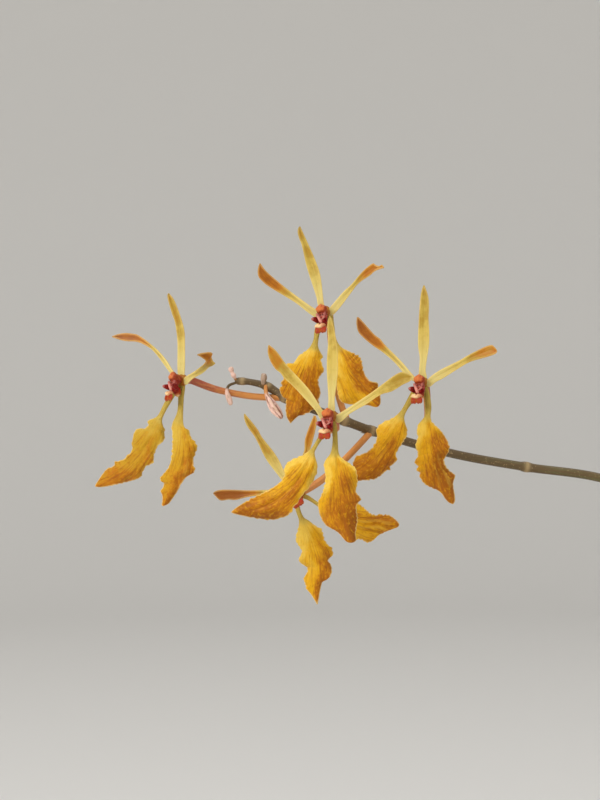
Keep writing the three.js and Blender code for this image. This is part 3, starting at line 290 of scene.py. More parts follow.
# Each bloom: hub x, z in the outline plane, hub depth y, how far it faces left, nods down and
# leans over in degrees, and how much farther its column and lip face left. A sepal's flush is
# where along it the amber starts, where it is full, and how far it favours the right half, where
# the amber is partly painted shade; its olive is how far it is tinted olive, which on the left
# bloom is partly painted shade; its hem is how pale its shoulders are; its pleats are how far
# apart, how deep, and where along they start; its crease is where across it lies and how deep
# it is, and a deep crease carries painted shade. A narrow tepal has how far it stands forward at
# its foot, thirds and tip, how brown its outer part is, and where along that starts.
BLOOMS = [
    {
        "name": "left", "hub": (-250.4, 362.0), "depth": 0, "facing": 27, "nod": 0, "lean": 4,
        "heart_turn": 24,
        "sepals": [
            # This bloom's olive tints are partly painted shade
            {"edges": LEFT_OUTER, "bow": 2.5, "wave": 0.9, "turns": 2.5, "phase": 0.1, "olive": 0.55,
             "flush_and_shade": (0.46, 1.1, 0.5), "pleats": (1.9, 0.14, 0.4), "crease": (0.3, 0.25)},
            {"edges": LEFT_INNER, "bow": 3.0, "wave": 0.9, "turns": 2.3, "phase": 0.6, "olive": 0.35,
             "flush_and_shade": (0.52, 1.2, 1.1), "pleats": (1.8, 0.16, 0.4), "crease": (-0.5, 0.25)},
        ],
        "narrow": LEFT_NARROW,
        "forward": [(0, 0.4, 1.5, 3.5), (0, 0, 0.5, 2), (0, 3, 9, 15)],
        "brown": [(0.35, 0.45), (0.9, 0.5), (0.85, 0.58)],
    },
    {
        "name": "top", "hub": (-207.5, 382.4), "depth": -5, "facing": 14, "nod": 3, "lean": 8,
        "heart_turn": 8,
        "sepals": [
            {"edges": TOP_LEFT, "bow": 2.0, "wave": 0.9, "turns": 2.4, "phase": 0.3,
             "flush_and_shade": (0.34, 0.9, 1.1), "pleats": (1.9, 0.16, 0.4), "crease": (-0.3, 0.2)},
            {"edges": TOP_RIGHT, "bow": 2.5, "wave": 0.9, "turns": 2.2, "phase": 0.8,
             "flush_and_shade": (0.6, 1.5, 1.6), "pleats": (1.7, 0.18, 0.35), "crease": (1.0, 0.2)},
        ],
        "narrow": TOP_NARROW,
        "forward": [(0, 0.5, 1, 2.5), (0, 0.5, 1, 3), (0, 0.5, 1, 3)],
        "brown": [(0.3, 0.4), (0.85, 0.5), (0.7, 0.55)],
    },
    {
        "name": "center", "hub": (-205.7, 351.2), "depth": -34, "facing": 12, "nod": 2, "lean": 2,
        "heart_turn": 10,
        "sepals": [
            {"edges": CENTER_LEFT, "bow": 2.0, "wave": 1.0, "turns": 2.5, "phase": 0.0,
             "flush_and_shade": (0.28, 0.9, 0.7), "hem": 1.3, "pleats": (2.3, 0.1, 0.45), "crease": (0.4, 0.5)},
            {"edges": CENTER_RIGHT, "bow": 3.0, "wave": 1.0, "turns": 2.6, "phase": 0.5,
             "flush_and_shade": (0.28, 0.9, 1.0), "hem": 1.3, "pleats": (2.3, 0.12, 0.35), "crease": (0.0, 0.5)},
        ],
        "narrow": CENTER_NARROW,
        "forward": [(0, 0.5, 0.5, -1), (0, 0.5, 0.5, 1), (0, 0.5, 1, 1)],
        "brown": [(0.05, 0.5), (0.55, 0.6), (0.22, 0.6)],
    },
    {
        "name": "right", "hub": (-178.4, 361.4), "depth": -8, "facing": 14, "nod": 2, "lean": 2,
        "heart_turn": 8,
        "sepals": [
            {"edges": RIGHT_LEFT, "bow": 2.0, "wave": 0.9, "turns": 2.5, "phase": 0.2,
             "flush_and_shade": (0.36, 0.95, 0.9), "pleats": (2.0, 0.14, 0.4), "crease": (0.3, 0.25)},
            {"edges": RIGHT_RIGHT, "bow": 2.5, "wave": 0.9, "turns": 2.6, "phase": 0.7,
             "flush_and_shade": (0.34, 0.85, 1.4), "pleats": (1.6, 0.17, 0.4), "crease": (0.0, 0.25)},
        ],
        "narrow": RIGHT_NARROW,
        "forward": [(0, 0.5, 0.5, -0.5), (0, 0, 0, 0.5), (0, 0.5, 1, 2)],
        "brown": [(0.22, 0.4), (0.95, 0.5), (0.6, 0.6)],
    },
    {
        "name": "lower", "hub": (-215.3, 328.1), "depth": -12, "facing": 10, "nod": 0, "lean": 32,
        "heart_turn": 8, "heart_lift": 2.2, "rosy": 0.4,
        "sepals": [
            {"edges": LOWER_DOWN, "bow": 2.0, "wave": 0.9, "turns": 2.6, "phase": 0.4,
             "flush_and_shade": (0.62, 1.5, 1.3), "pleats": (2.0, 0.14, 0.3), "crease": (-0.3, 0.25)},
            {"edges": LOWER_RIGHT, "bow": 2.0, "wave": 0.9, "turns": 2.3, "phase": 0.9,
             "flush_and_shade": (0.5, 1.2, 0.5), "pleats": (1.6, 0.18, 0.3), "crease": (0.3, 0.2)},
        ],
        "narrow": LOWER_NARROW,
        "forward": [(0, 0, 0, 1), (0, 0.5, 1, 2), (0, 0, 0, 1)],
        "brown": [(0.4, 0.4), (1.1, 0.45), (0.6, 0.4)],
    },
]

# Flower stem: its middle line from the leaf axil to its tip, its nodes as shares of the way
FLOWER_STEM_ROUTE = [
    (-2.0, 0, 238), (-9, 0.9, 248), (-30, 4, 275.5), (-60, 9, 303), (-92, 13.5, 322),
    (-122.1, 16, 331.9), (-145.0, 14, 335.3), (-168.9, 12, 339.7), (-193.1, 8, 346.6),
    (-201.3, 6, 349.6), (-212.0, 8, 353.6), (-219.6, 9, 356.6), (-224.8, 10, 360.0),
    (-230.3, 10, 361.5), (-234.9, 10, 361.8),
]
STEM_NODES = [0.2, 0.385, 0.52, 0.655, 0.7725, 0.835, 0.868, 0.94, 0.9625, 0.992]
PEDUNCLE_RADIUS = 1.9
RACHIS_RADIUS = 1.35

# Bracts under the branches: foot, heading and length
BRACTS = [
    ((-176.4, 11.2, 341.2), (-0.7, 0.6, -0.55), 3.6),
    ((-193.4, 8.6, 346.4), (-0.85, 0.5, -0.25), 3.6),
    ((-202.6, 6.8, 349.6), (-0.8, 0.6, -0.2), 3.4),
    ((-220.4, 9.6, 356.6), (-0.5, 0.8, -0.4), 3.2),
    ((-225.2, 10.4, 360.2), (-0.3, 0.6, 0.8), 3.4),
]

# Undeveloped buds: middle line, neck radius, swellings (where along, radius, reach), where
# the stalk ends and how orange it is, how pale the bud is, and how striped
BUDS = [
    {"line": [(-234.4, 9.6, 361.8), (-235.4, 9.0, 363.7), (-236.3, 8.7, 366.1)], "neck": 0.45,
     "swellings": [(0.44, 0.75, 0.14), (0.84, 0.8, 0.16)], "stalk": (0.2, 0.4), "pale": 0.95,
     "striped": 0.1},
    {"line": [(-234.8, 9.6, 361.2), (-236.8, 9.0, 360.3), (-237.3, 8.0, 358.5), (-236.7, 7.2, 356.6),
              (-235.9, 6.6, 354.4)], "neck": 0.4,
     "swellings": [(0.72, 0.85, 0.26)], "stalk": (0.38, 0.0), "pale": 0.9, "striped": 0.3},
    {"line": [(-226.3, 9.4, 360.6), (-226.1, 8.6, 362.2), (-226.0, 8.0, 364.1)], "neck": 0.6,
     "swellings": [(0.62, 0.95, 0.34)], "stalk": (0.1, 0.2), "pale": 0.45, "striped": 0.2},
    {"line": [(-225.4, 9.0, 360.4), (-225.3, 7.4, 358.2), (-223.6, 5.6, 354.8), (-220.4, 3.2, 350.4)],
     "neck": 0.55, "swellings": [(0.66, 1.5, 0.27)], "stalk": (0.24, 0.9), "pale": 0.95, "striped": 0.85},
]

# Pedicels from the flower stem's middle line to the hub's back
PEDICEL_ROUTES = {
    "left": [(-219.6, 9, 356.6), (-230.3, 10, 357.2), (-240.8, 8.2, 359.3)],
    "top": [(-200.6, 6.2, 349.3), (-203.2, 6.4, 357), (-205.3, 5, 371)],
    "center": [(-204.8, 6.6, 350.9), (-204.6, -4, 348.2), (-204.6, -18, 348)],
    "right": [(-176.7, 11, 341.1), (-176.6, 8.5, 346), (-176.5, 3, 353)],
    "lower": [(-193.1, 8, 346.6), (-201.5, 3, 338), (-209.0, -3, 331.8)],
}

# Roots from the upright stem: into the bark, or over the rim
ROOT_RADIUS = 2.2
ROOT_ROUTES = [
    [(0, 0, 117), (-12, -7, 119), (-25, -16, 115), (-33, -24, 103), (-35, -27, 90)],
    [(0, 0, 112), (8, -10, 113), (15, -22, 111), (19, -30, 102), (20, -33, 89)],
    [
        (0, 0, 116.5), (17, -3, 120.5), (43, -7, 125.5), (58, -8.5, 124), (66.4, -9.3, 119.4),
        (69.2, -9.6, 108), (67.8, -9, 88), (62, -7, 54),
    ],
    [
        (0, 0, 113.5), (-8, 13, 117.5), (-19, 32, 124), (-28, 48.6, 124), (-33.4, 58.1, 119.4),
        (-34.8, 60.5, 108), (-33.6, 59.2, 88), (-30, 54, 70),
    ],
]

# Studio, in metres: place and size of each light, where they all look, and the backdrop's
# middle face and straight wall
KEY_LIGHT = ((-1.9, -1.5, 1.6), (1.5, 1.5))
FILL_LIGHT = ((1.7, -1.6, 0.9), (1.6, 1.6))
TOP_LIGHT = ((0.3, 0.2, 2.6), (1.8, 1.8))
LIGHT_AIM = (-0.12, 0.0, 0.27)
MIDDLE_FACE_RADIUS = 0.05
WALL_RISE = 2.0
BACKDROP_BEND_STEPS = 24
BACKDROP_SIDES = 128


def colour(title, words, red, green, blue):
    """Colour property whose default is given in screen values from 0 to 255."""
    def linear(level):
        """The screen value's share of full light, by the standard screen curve."""
        share = level / 255
        return share / 12.92 if share <= 0.04045 else ((share + 0.055) / 1.055) ** 2.4
    return bpy.props.FloatVectorProperty(
        name=title, description=words, subtype="COLOR", size=3, min=0.0, max=1.0,
        default=(linear(red), linear(green), linear(blue)),
    )


def length(title, words, millimetres):
    """Length property whose default is given in millimetres."""
    return bpy.props.FloatProperty(
        name=title, description=words, subtype="DISTANCE", unit="LENGTH", min=0.0,
        default=millimetres * MM, precision=5,
    )


class OrchidColours(bpy.types.PropertyGroup):
    """Colours of the plant's and the pot's finishes."""
    # Blade pale on the pleats' crests is painted highlight
    blade_pale: colour("Blade pale", "Shoulders and fine lines of the lateral sepals", 230, 190, 72)
    blade_yellow: colour("Blade yellow", "Golden upper part of the lateral sepals", 216, 160, 18)
    # Blade amber and blade deep on each sepal's right half are partly painted shade
    blade_amber: colour("Blade amber", "Orange-brown lower part of the lateral sepals", 184, 112, 8)
    blade_deep: colour("Blade deep", "Darkest flush of the lateral sepals", 138, 74, 4)
    # Blade vein in the pleats' troughs, the deep creases and the crinkles' low parts is partly painted
    # shade
    blade_vein: colour("Blade vein", "Net of veins on the lateral sepals", 150, 84, 12)
    blade_rim: colour("Blade rim", "Thin pale margin of the sepals and petals", 236, 206, 128)
    claw_cream: colour("Claw cream", "Narrow base of every tepal", 210, 192, 116)
    petal_yellow: colour("Petal yellow", "Narrow tepals past their claw", 204, 176, 84)
    # Petal olive also tints some sepals, partly as painted shade
    petal_olive: colour("Petal olive", "Strip along the narrow tepals", 160, 127, 34)
    # Petal brown also lies at the foot of each narrow tepal as painted shade
    petal_brown: colour("Petal brown", "Outer half of the narrow petals", 142, 78, 12)
    cap_orange: colour("Cap orange", "Anther cap", 204, 112, 54)
    # Cap red on the cap's right, lower and back sides is partly painted shade
    cap_red: colour("Cap red", "Flanks of the anther cap and column", 146, 52, 20)
    stigma_pink: colour("Stigma pink", "Streaks under the cap and in the throat", 230, 158, 142)
    lip_red: colour("Lip red", "Side lobes and throat of the lip", 126, 14, 20)
    lip_orange: colour("Lip orange", "Front lobes of the lip", 164, 44, 12)
    callus_cream: colour("Callus cream", "Ridge between the lip's lobes", 238, 200, 146)
    pedicel_rose: colour("Pedicel rose", "Pedicel at the bloom", 162, 78, 52)
    pedicel_orange: colour("Pedicel orange", "Pedicel at the flower stem", 206, 136, 66)
    stem_brown: colour("Flower stem brown", "Flowering end of the stem", 92, 72, 40)
    stem_olive: colour("Flower stem olive", "Stem toward the plant", 96, 94, 56)
    node_pale: colour("Node pale", "Dry rings and bracts on the flower stem", 176, 150, 104)
    bud_pink: colour("Bud pink", "Ribs of the undeveloped buds", 236, 196, 180)
    bud_brown: colour("Bud brown", "Stripes between the ribs", 128, 66, 40)
    leaf_green: colour("Leaf green", "Upper side of the leaves", 62, 98, 38)
    leaf_light: colour("Leaf light", "Underside and midrib of the leaves", 118, 144, 70)
    leaf_base: colour("Leaf base", "Yellowed foot of each leaf", 150, 150, 76)
    sheath_straw: colour("Sheath straw", "Dry leaf sheaths of the upright stem", 172, 148, 96)
    sheath_green: colour("Sheath green", "Fresh leaf sheaths near the top", 112, 124, 62)
    sheath_brown: colour("Sheath brown", "Old fibres of the sheaths", 96, 72, 44)
    root_silver: colour("Root silver", "Spongy coat of the roots", 198, 200, 186)
    root_green: colour("Root green", "Growing tips and wet patches", 112, 132, 66)
    bark_brown: colour("Bark brown", "Broken faces of the bark", 128, 78, 46)
    # Bark dark on the bed between the chips and in the stigma's pits is painted shade
    bark_dark_and_shade: colour("Bark dark", "Crevices and weathered faces", 58, 36, 24)
    terracotta: colour("Terracotta", "Fired clay of the pot", 188, 106, 68)
    terracotta_dark: colour("Terracotta dark", "Damp and burnt parts of the pot", 142, 72, 46)
    lime_white: colour("Lime white", "Salts that bloom on the clay", 214, 186, 160)
    backdrop: colour("Backdrop", "Plain pale floor that sweeps up all round", 224, 222, 218)


class OrchidSizes(bpy.types.PropertyGroup):
    """Sizes of the finest forms."""
    sepal_thickness: length("Sepal thickness", "Lateral sepal at its middle", 0.62)
    petal_thickness: length("Petal thickness", "Narrow tepal at its middle", 0.6)
    leaf_thickness: length("Leaf thickness", "Leaf beside its midrib", 1.4)
    margin_frill: length("Margin frill", "How far the sepals' margins jut in and out", 0.16)
    margin_ruffle: length("Margin ruffle", "How far the sepals' margins ruffle", 0.55)
    vein_relief: length("Vein relief", "Height of the sepals' veins", 0.07)
    chip_length: length("Chip length", "Longest side of a bark chip", 13.0)
    chip_width: length("Chip width", "Middle side of a bark chip", 9.0)
    chip_height: length("Chip height", "Short side of a bark chip", 5.0)
    turning_groove: length("Turning groove", "Depth of the pot's turning lines", 0.06)


def light_power(title, words, watts):
    """Power property of a light, in watts."""
    return bpy.props.FloatProperty(
        name=title, description=words, subtype="POWER", unit="POWER", min=0.0, default=watts)


class OrchidStudio(bpy.types.PropertyGroup):
    """Backdrop and lights."""
    floor_radius: length("Floor radius", "Flat part of the backdrop", 2300.0)
    sweep_radius: length("Sweep radius", "Bend from the floor to the wall", 1500.0)
    key_power: light_power("Key power", "Large light in front", 54.0)
    fill_power: light_power("Fill power", "Large light on the other side", 15.0)
    top_power: light_power("Top power", "Light overhead", 19.0)
    sky_strength: bpy.props.FloatProperty(
        name="Sky strength", description="Even light from all round", default=0.4,
        min=0.0, subtype="FACTOR",
    )


def smoothstep(low, high, value):
    """Rises from 0 at low to 1 at high along t squared times (3 minus 2 t)."""
    t = np.clip((np.asarray(value, float) - low) / (high - low), 0.0, 1.0)
    return t * t * (3.0 - 2.0 * t)


def bell(distance, width):
    """Bell curve: e to the power of minus the square of the distance over the width."""
    return np.exp(-(distance / width) ** 2)


def blend(start, end, share):
    """Start plus its share of the way to end."""
    return start + (end - start) * share


def unit_rows(vectors):
    """Each row over its own length."""
    return vectors / np.maximum(np.linalg.norm(vectors, axis=-1, keepdims=True), 1e-12)


def soft_noise(points, size, seed, waves=10):
    """Smooth uneven field with values mostly from -1 to 1: a sum of sine waves in random
    directions, whose wavelengths lie round the given size."""
    random = np.random.default_rng(seed)
    headings = unit_rows(random.normal(size=(waves, points.shape[-1])))
    wavelengths = size * random.uniform(0.7, 1.5, waves)
    phases = random.uniform(0.0, TURN, waves)
    angles = points @ (TURN * headings / wavelengths[:, None]).T + phases
    return np.sin(angles).sum(axis=-1) * math.sqrt(0.5 / waves)


def curve_points(knots, along, spacing=0.5, carried_on=True):
    """Catmull-Rom curve through the knots at shares of its way: a Hermite cubic between
    two knots, whose slopes come from the knots on both sides, spaced by their distance to
    the given power. Past its ends the curve is carried on straight, or else held."""
    knots = np.asarray(knots, float)
    first = 2 * knots[0] - knots[1] if carried_on else knots[0]
    last = 2 * knots[-1] - knots[-2] if carried_on else knots[-1]
    padded = np.vstack([first, knots, last])
    at = np.clip(along, 0.0, 1.0) * (len(knots) - 1)
    k = np.minimum(at.astype(int), len(knots) - 2)
    t = (at - k)[..., None]
    a, b, c, d = (padded[k + step] for step in range(4))
    before, between, after = (
        np.maximum(np.linalg.norm(q - p, axis=-1, keepdims=True), 1e-9) ** spacing
        for p, q in ((a, b), (b, c), (c, d)))
    start = between * ((b - a) / before - (c - a) / (before + between) + (c - b) / between)
    end = between * ((c - b) / between - (d - b) / (between + after) + (d - c) / after)
    cubic = 2 * b - 2 * c + start + end
    square = -3 * b + 3 * c - 2 * start - end
    return ((cubic * t + square) * t + start) * t + b


def running_mean(points, width):
    """Mean of every run of points as long as the width, on each axis."""
    window = np.ones(width) / width
    return np.stack([np.convolve(values, window, mode="valid") for values in points.T], axis=1)


def rounded_end(share, start, reach, least):
    """Falls from 1 at the start along a quarter circle of the given reach. Its square is
    held at the least or more."""
    ahead = np.clip(share - start, 0, 1) / reach
    return np.sqrt(np.clip(1.0 - ahead ** 2, least, 1.0))


def edge_fall(v, power):
    """Falls from 1 at the middle to 0 at the edges: the root of 1 less v to the power."""
    return np.sqrt(np.clip(1.0 - np.abs(v) ** power, 0.0, 1.0))


def circle_angles(sides):
    """Even steps of a whole turn, as a row."""
    return np.linspace(0.0, TURN, sides, endpoint=False)[None, :]


def blade_grid(rows, columns):
    """Shares along from 0 to 1, as a column, and places across from -1 to 1, as a row,
    closer together toward both edges."""
    even = np.linspace(-1.0, 1.0, columns)
    return np.linspace(0.0, 1.0, rows)[:, None], (even + 0.12 * np.sin(math.pi * even))[None, :]


def run_along(points):
    """Length of the way up to each point of a line."""
    return np.concatenate([[0.0], np.cumsum(np.linalg.norm(np.diff(points, axis=0), axis=1))])


def even_points(knots, shares, carried_on=True):
    """Points at shares of the length of the curve through the knots, and that length."""
    fine = curve_points(knots, np.linspace(0.0, 1.0, CURVE_STEPS), carried_on=carried_on)
    run = run_along(fine)
    stations = np.asarray(shares) * run[-1]
    return np.stack([np.interp(stations, run, values) for values in fine.T], axis=1), run[-1]


def sight_point(x, z, y):
    """Point of the outline plane, slid along its line of sight to the depth y."""
    reach = (y - VIEW_POINT[1]) / -VIEW_POINT[1]
    return np.stack([
        VIEW_POINT[0] + (x - VIEW_POINT[0]) * reach,
        np.broadcast_to(y, np.shape(reach)),
        VIEW_POINT[2] + (z - VIEW_POINT[2]) * reach,
    ], axis=-1)


class Shell:
    """One closed surface in millimetres: points, faces, a place for patterns (grain), and
    named numbers on its points (traits)."""

    def __init__(self, points, faces, grain, traits):
        """Lays everything out point by point; a single number goes to every point."""
        self.points = np.asarray(points, float).reshape(-1, 3)
        self.faces = faces
        self.grain = np.asarray(grain, float).reshape(-1, 3)
        self.traits = {
            name: np.broadcast_to(value, (len(self.points),)).astype(float)
            for name, value in traits.items()}

    def moved(self, matrix, origin):
        """The shell turned by the matrix's columns and carried to the origin."""
        self.points = self.points @ np.asarray(matrix).T + np.asarray(origin)
        return self


def ring_quads(count, sides):
    """Corner numbers of the quads between rings that are laid one after another."""
    ring = np.arange(sides)
    after = np.roll(ring, -1)
    rows = np.arange(count - 1)[:, None] * sides
    quads = np.stack([rows + ring, rows + after, rows + sides + after, rows + sides + ring], axis=-1)
    return quads.reshape(-1, 4)


def wrapped_shell(rings, grain, traits):
    """Closed skin over rings of equal count. Each end closes on its ring's middle."""
    count, sides = rings.shape[:2]
    ring = np.arange(sides)
    after = np.roll(ring, -1)
    foot, tip = count * sides, count * sides + 1
    top = (count - 1) * sides
    fans = np.concatenate([
        np.stack([np.full(sides, foot), after, ring], axis=-1),
        np.stack([np.full(sides, tip), top + ring, top + after], axis=-1)])

    def ended(values):
        """The rings' values, and the means of the first and the last ring."""
        ends = [values[end].reshape(sides, -1).mean(0) for end in (0, -1)]
        return np.vstack([values.reshape(count * sides, -1), *ends])
    full = {
        name: ended(np.broadcast_to(value, (count, sides)).astype(float))[:, 0]
        for name, value in traits.items()}
    return Shell(ended(rings), [ring_quads(count, sides), fans], ended(grain), full)


def blade_shell(surface, grain, traits, half_front, half_back, looks=FORWARD):
    """Closed thin blade: rings round a two-sided grid. The front runs from edge to edge and
    the back returns, each half a thickness along the surface normal, and they meet at the
    rim. The front is the side that looks the given way on the whole."""
    normals = unit_rows(np.cross(np.gradient(surface, axis=1), np.gradient(surface, axis=0)))
    if (normals @ np.array(looks)).mean() < 0:
        normals = -normals
    front = surface + normals * half_front[..., None]
    back = surface - normals * half_back[..., None]
    inner = slice(-2, 0, -1)

    def ringed(values):
        """The front's values and, in turn, those of the way back."""
        return np.concatenate([values, values[:, inner]], axis=1)
    rings = np.concatenate([front, back[:, inner]], axis=1)
    columns = surface.shape[1]
    full = {
        name: ringed(np.broadcast_to(value, surface.shape[:2])) for name, value in traits.items()}
    full["front"] = np.concatenate([np.ones(columns), np.zeros(columns - 2)])
    return wrapped_shell(rings, ringed(grain), full)


def tube_shell(knots, grid, radius_at, traits_at):
    """Tube along the curve through the knots: at each station a ring whose radius is a
    function of the share of the way and the angle. The grain is the straightened tube."""
    share = np.linspace(0.0, 1.0, grid[0])[:, None]
    angle = circle_angles(grid[1])
    middle, run = even_points(knots, share[:, 0])
    tangents = unit_rows(np.gradient(middle, axis=0))
    least = np.linalg.svd(tangents)[2][-1]
    normals = unit_rows(least - (tangents @ least)[:, None] * tangents)
    binormals = np.cross(tangents, normals)
    radius = radius_at(share, angle) + np.zeros(grid)
    across, beside = radius * np.cos(angle), radius * np.sin(angle)
    rings = (
        middle[:, None, :] + across[..., None] * normals[:, None, :]
        + beside[..., None] * binormals[:, None, :])
    grain = np.stack([across, beside, np.broadcast_to(share * run, across.shape)], axis=-1)
    return wrapped_shell(rings, grain, {"along": share, **traits_at(share, angle)})


def round_shell(radii, grid, dent=None):
    """Closed ball-like form: the unit sphere, pushed in or out along its own directions by a
    function of them, and stretched by the radii."""
    polar = np.linspace(0.0, math.pi, grid[0] + 2)[1:-1, None]
    angle = circle_angles(grid[1])
    ball = np.stack([
        np.sin(polar) * np.cos(angle), np.sin(polar) * np.sin(angle),
        np.cos(polar) + 0.0 * angle], axis=-1)
    push = 1.0 + (dent(ball) if dent else np.zeros(ball.shape[:2]))
    rings = ball * push[..., None] * np.asarray(radii, float)
    return wrapped_shell(rings, rings, {})


def turned_shell(profile, turning, relief=None):
    """Body of revolution: the profile of radius and height is spread evenly by length, its
    corners are rounded by a running mean, and it is carried round Z. A relief function of
    radius, height and angle is added to the radius."""
    sides, spacing, rounding = turning
    profile = np.asarray(profile, float)
    run = run_along(profile)
    steps = np.linspace(0.0, run[-1], int(run[-1] / spacing) + 1)
    line = np.stack([np.interp(steps, run, profile[:, axis]) for axis in range(2)], axis=1)
    width = max(int(rounding / spacing), 1) * 2 + 1
    padded = np.pad(line, ((width // 2, width // 2), (0, 0)), mode="edge")
    smooth = running_mean(padded, width)
    inside = smooth[smooth[:, 0] > LEAST_TURNED_RADIUS]
    angle = circle_angles(sides)
    radius = inside[:, :1] + 0.0 * angle
    height = inside[:, 1:] + 0.0 * angle
    if relief:
        radius = radius + relief(radius, height, angle)
    rings = np.stack([radius * np.cos(angle), radius * np.sin(angle), height], axis=-1)
    return wrapped_shell(rings, rings, {})


def ring_shell(radius, height, angle):
    """Closed band round Z whose section is a closed loop: radius and height are functions
    of the place on the section (rows) and the angle (columns)."""
    points = np.stack([radius * np.cos(angle), radius * np.sin(angle), height], axis=-1)
    count, sides = points.shape[:2]
    row, column = np.meshgrid(np.arange(count), np.arange(sides), indexing="ij")
    next_row, next_column = (row + 1) % count, (column + 1) % sides
    quads = np.stack([
        row * sides + column, row * sides + next_column,
        next_row * sides + next_column, next_row * sides + column], axis=-1)
    return Shell(points, [quads.reshape(-1, 4)], points, {})


def signed_volume(points, triangles):
    """Sum of the corner products of each triangle over six: positive when faces look out."""
    a, b, c = (points[triangles[:, corner]] for corner in range(3))
    return float(np.einsum("ij,ij->i", a, np.cross(b, c)).sum() / 6.0)


def faced_outward(shell):
    """The shell's faces, turned over if they look inward."""
    triangles = np.concatenate([
        part if part.shape[1] == 3 else np.concatenate([part[:, [0, 1, 2]], part[:, [0, 2, 3]]])
        for part in shell.faces])
    if signed_volume(shell.points - shell.points.mean(0), triangles) < 0:
        return [part[:, ::-1] for part in shell.faces]
    return shell.faces


def make_piece(name, shells, material, replaced):
    """Lays the shells in one mesh object at the origin, with the grain and the traits as
    attributes, rides it on the root and hides the imported parts that it replaces."""
    points, faces, start = [], [], 0
    for shell in shells:
        points.append(shell.points)
        for part in faced_outward(shell):
            faces.extend((part + start).tolist())
        start += len(shell.points)
    mesh = bpy.data.meshes.new(name)
    mesh.from_pydata(np.concatenate(points) * MM, [], faces)
    grain = mesh.attributes.new("grain", "FLOAT_VECTOR", "POINT")
    grain.data.foreach_set("vector", np.concatenate([s.grain for s in shells]).ravel())
    for trait in sorted(set().union(*(shell.traits for shell in shells))):
        values = np.concatenate([
            shell.traits.get(trait, np.zeros(len(shell.points))) for shell in shells])
        mesh.attributes.new(trait, "FLOAT", "POINT").data.foreach_set("value", values)
    mesh.polygons.foreach_set("use_smooth", np.ones(len(mesh.polygons), bool))
    mesh.validate()
    mesh.materials.append(material)
    piece = bpy.data.objects.new(name, mesh)
    bpy.context.scene.collection.objects.link(piece)
    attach(piece, "root")
    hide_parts(*replaced)
    return piece


class Finish:
    """A procedural material: short calls that add nodes round one Principled shader. Its
    base is the colour laid so far."""

    def __init__(self, name, roughness, specular):
        """Starts the material with the shader's roughness and specular level."""
        self.material = bpy.data.materials.new(name)
        self.material.use_nodes = True
        self.tree = self.material.node_tree
        self.shader = self.tree.nodes["Principled BSDF"]
        self.shader.inputs["Roughness"].default_value = roughness
        self.shader.inputs["Specular IOR Level"].default_value = specular
        self.base = None

    def feed(self, socket, value):
        """Links a socket or a trait, given by its name, or sets a plain value. A colour of
        three numbers becomes opaque."""
        if isinstance(value, str):
            value = self.trait(value)
        if isinstance(value, bpy.types.NodeSocket):
            self.tree.links.new(value, socket)
        elif socket.type == "RGBA":
            socket.default_value = (*value[:3], 1.0)
        else:
            socket.default_value = value

    def node(self, kind, inputs, **settings):
        """Adds a node with its settings and feeds its inputs by name or number."""
        made = self.tree.nodes.new(kind)
        for setting, value in settings.items():
            setattr(made, setting, value)
        for key, value in inputs.items():
            self.feed(made.inputs[key], value)
        return made

    def trait(self, name):
        """A number that the piece carries on its points."""
        return self.node("ShaderNodeAttribute", {}, attribute_name=name).outputs["Fac"]

    def noise(self, stretch, scale, detail, roughness=0.5, distortion=0.0):
        """Noise on the piece's own pattern place, in millimetres times a stretch on each axis."""
        place = self.node("ShaderNodeAttribute", {}, attribute_name="grain").outputs["Vector"]
        stretched = self.node("ShaderNodeMapping", {"Vector": place, "Scale": stretch})
        return self.node("ShaderNodeTexNoise", {
            "Vector": stretched.outputs["Vector"], "Scale": scale, "Detail": detail,
            "Roughness": roughness, "Distortion": distortion}).outputs["Fac"]

    def band(self, value, low, high, start=0.0, end=1.0):
        """Smooth step of the value from low to high, laid from start to end."""
        return self.node("ShaderNodeMapRange", {
            "Value": value, "From Min": low, "From Max": high, "To Min": start, "To Max": end,
        }, interpolation_type="SMOOTHSTEP").outputs["Result"]

    def plus(self, first, second):
        """Sum of two numbers."""
        return self.node("ShaderNodeMath", {0: first, 1: second}, operation="ADD").outputs[0]

    def times(self, first, second):
        """Product of two numbers."""
        return self.node("ShaderNodeMath", {0: first, 1: second}, operation="MULTIPLY").outputs[0]

    def without(self, name):
        """One less a trait."""
        inputs = {0: 1.0, 1: self.trait(name)}
        return self.node("ShaderNodeMath", inputs, operation="SUBTRACT").outputs[0]

    def uneven(self, value, noise, swing):
        """The value, carried up and down by a noise as far as the swing."""
        return self.plus(value, self.band(noise, 0.3, 0.7, -swing, swing))

    def mix(self, first, second, share, *steps):
        """A share of the second colour over the first, or the share's band where steps are
        given. The node's sockets 6 and 7 are its colours."""
        share = self.band(share, *steps) if steps else share
        return self.node("ShaderNodeMix", {0: share, 6: first, 7: second}, data_type="RGBA").outputs[2]

    def lay(self, colour, share, *steps):
        """Lays a share of the colour, or the share's band, over the base."""
        self.base = self.mix(self.base, colour, share, *steps)

    def bump(self, height, distance):
        """Relief of the given depth in millimetres, laid on any that is there already."""
        inputs = {"Height": height, "Distance": distance * MM, "Strength": 1.0}
        normal = self.shader.inputs["Normal"]
        if normal.is_linked:
            inputs["Normal"] = normal.links[0].from_socket
        self.feed(normal, self.node("ShaderNodeBump", inputs).outputs["Normal"])

    def soak(self, weight, depth):
        """Light that enters and leaves again within a depth in millimetres."""
        self.shader.inputs["Subsurface Weight"].default_value = weight
        self.shader.inputs["Subsurface Radius"].default_value = (1.0, 0.5, 0.25)
        self.shader.inputs["Subsurface Scale"].default_value = depth * MM

    def painted(self):
        """The material, with its base on the shader."""
        self.feed(self.shader.inputs["Base Color"], self.base)
        return self.material


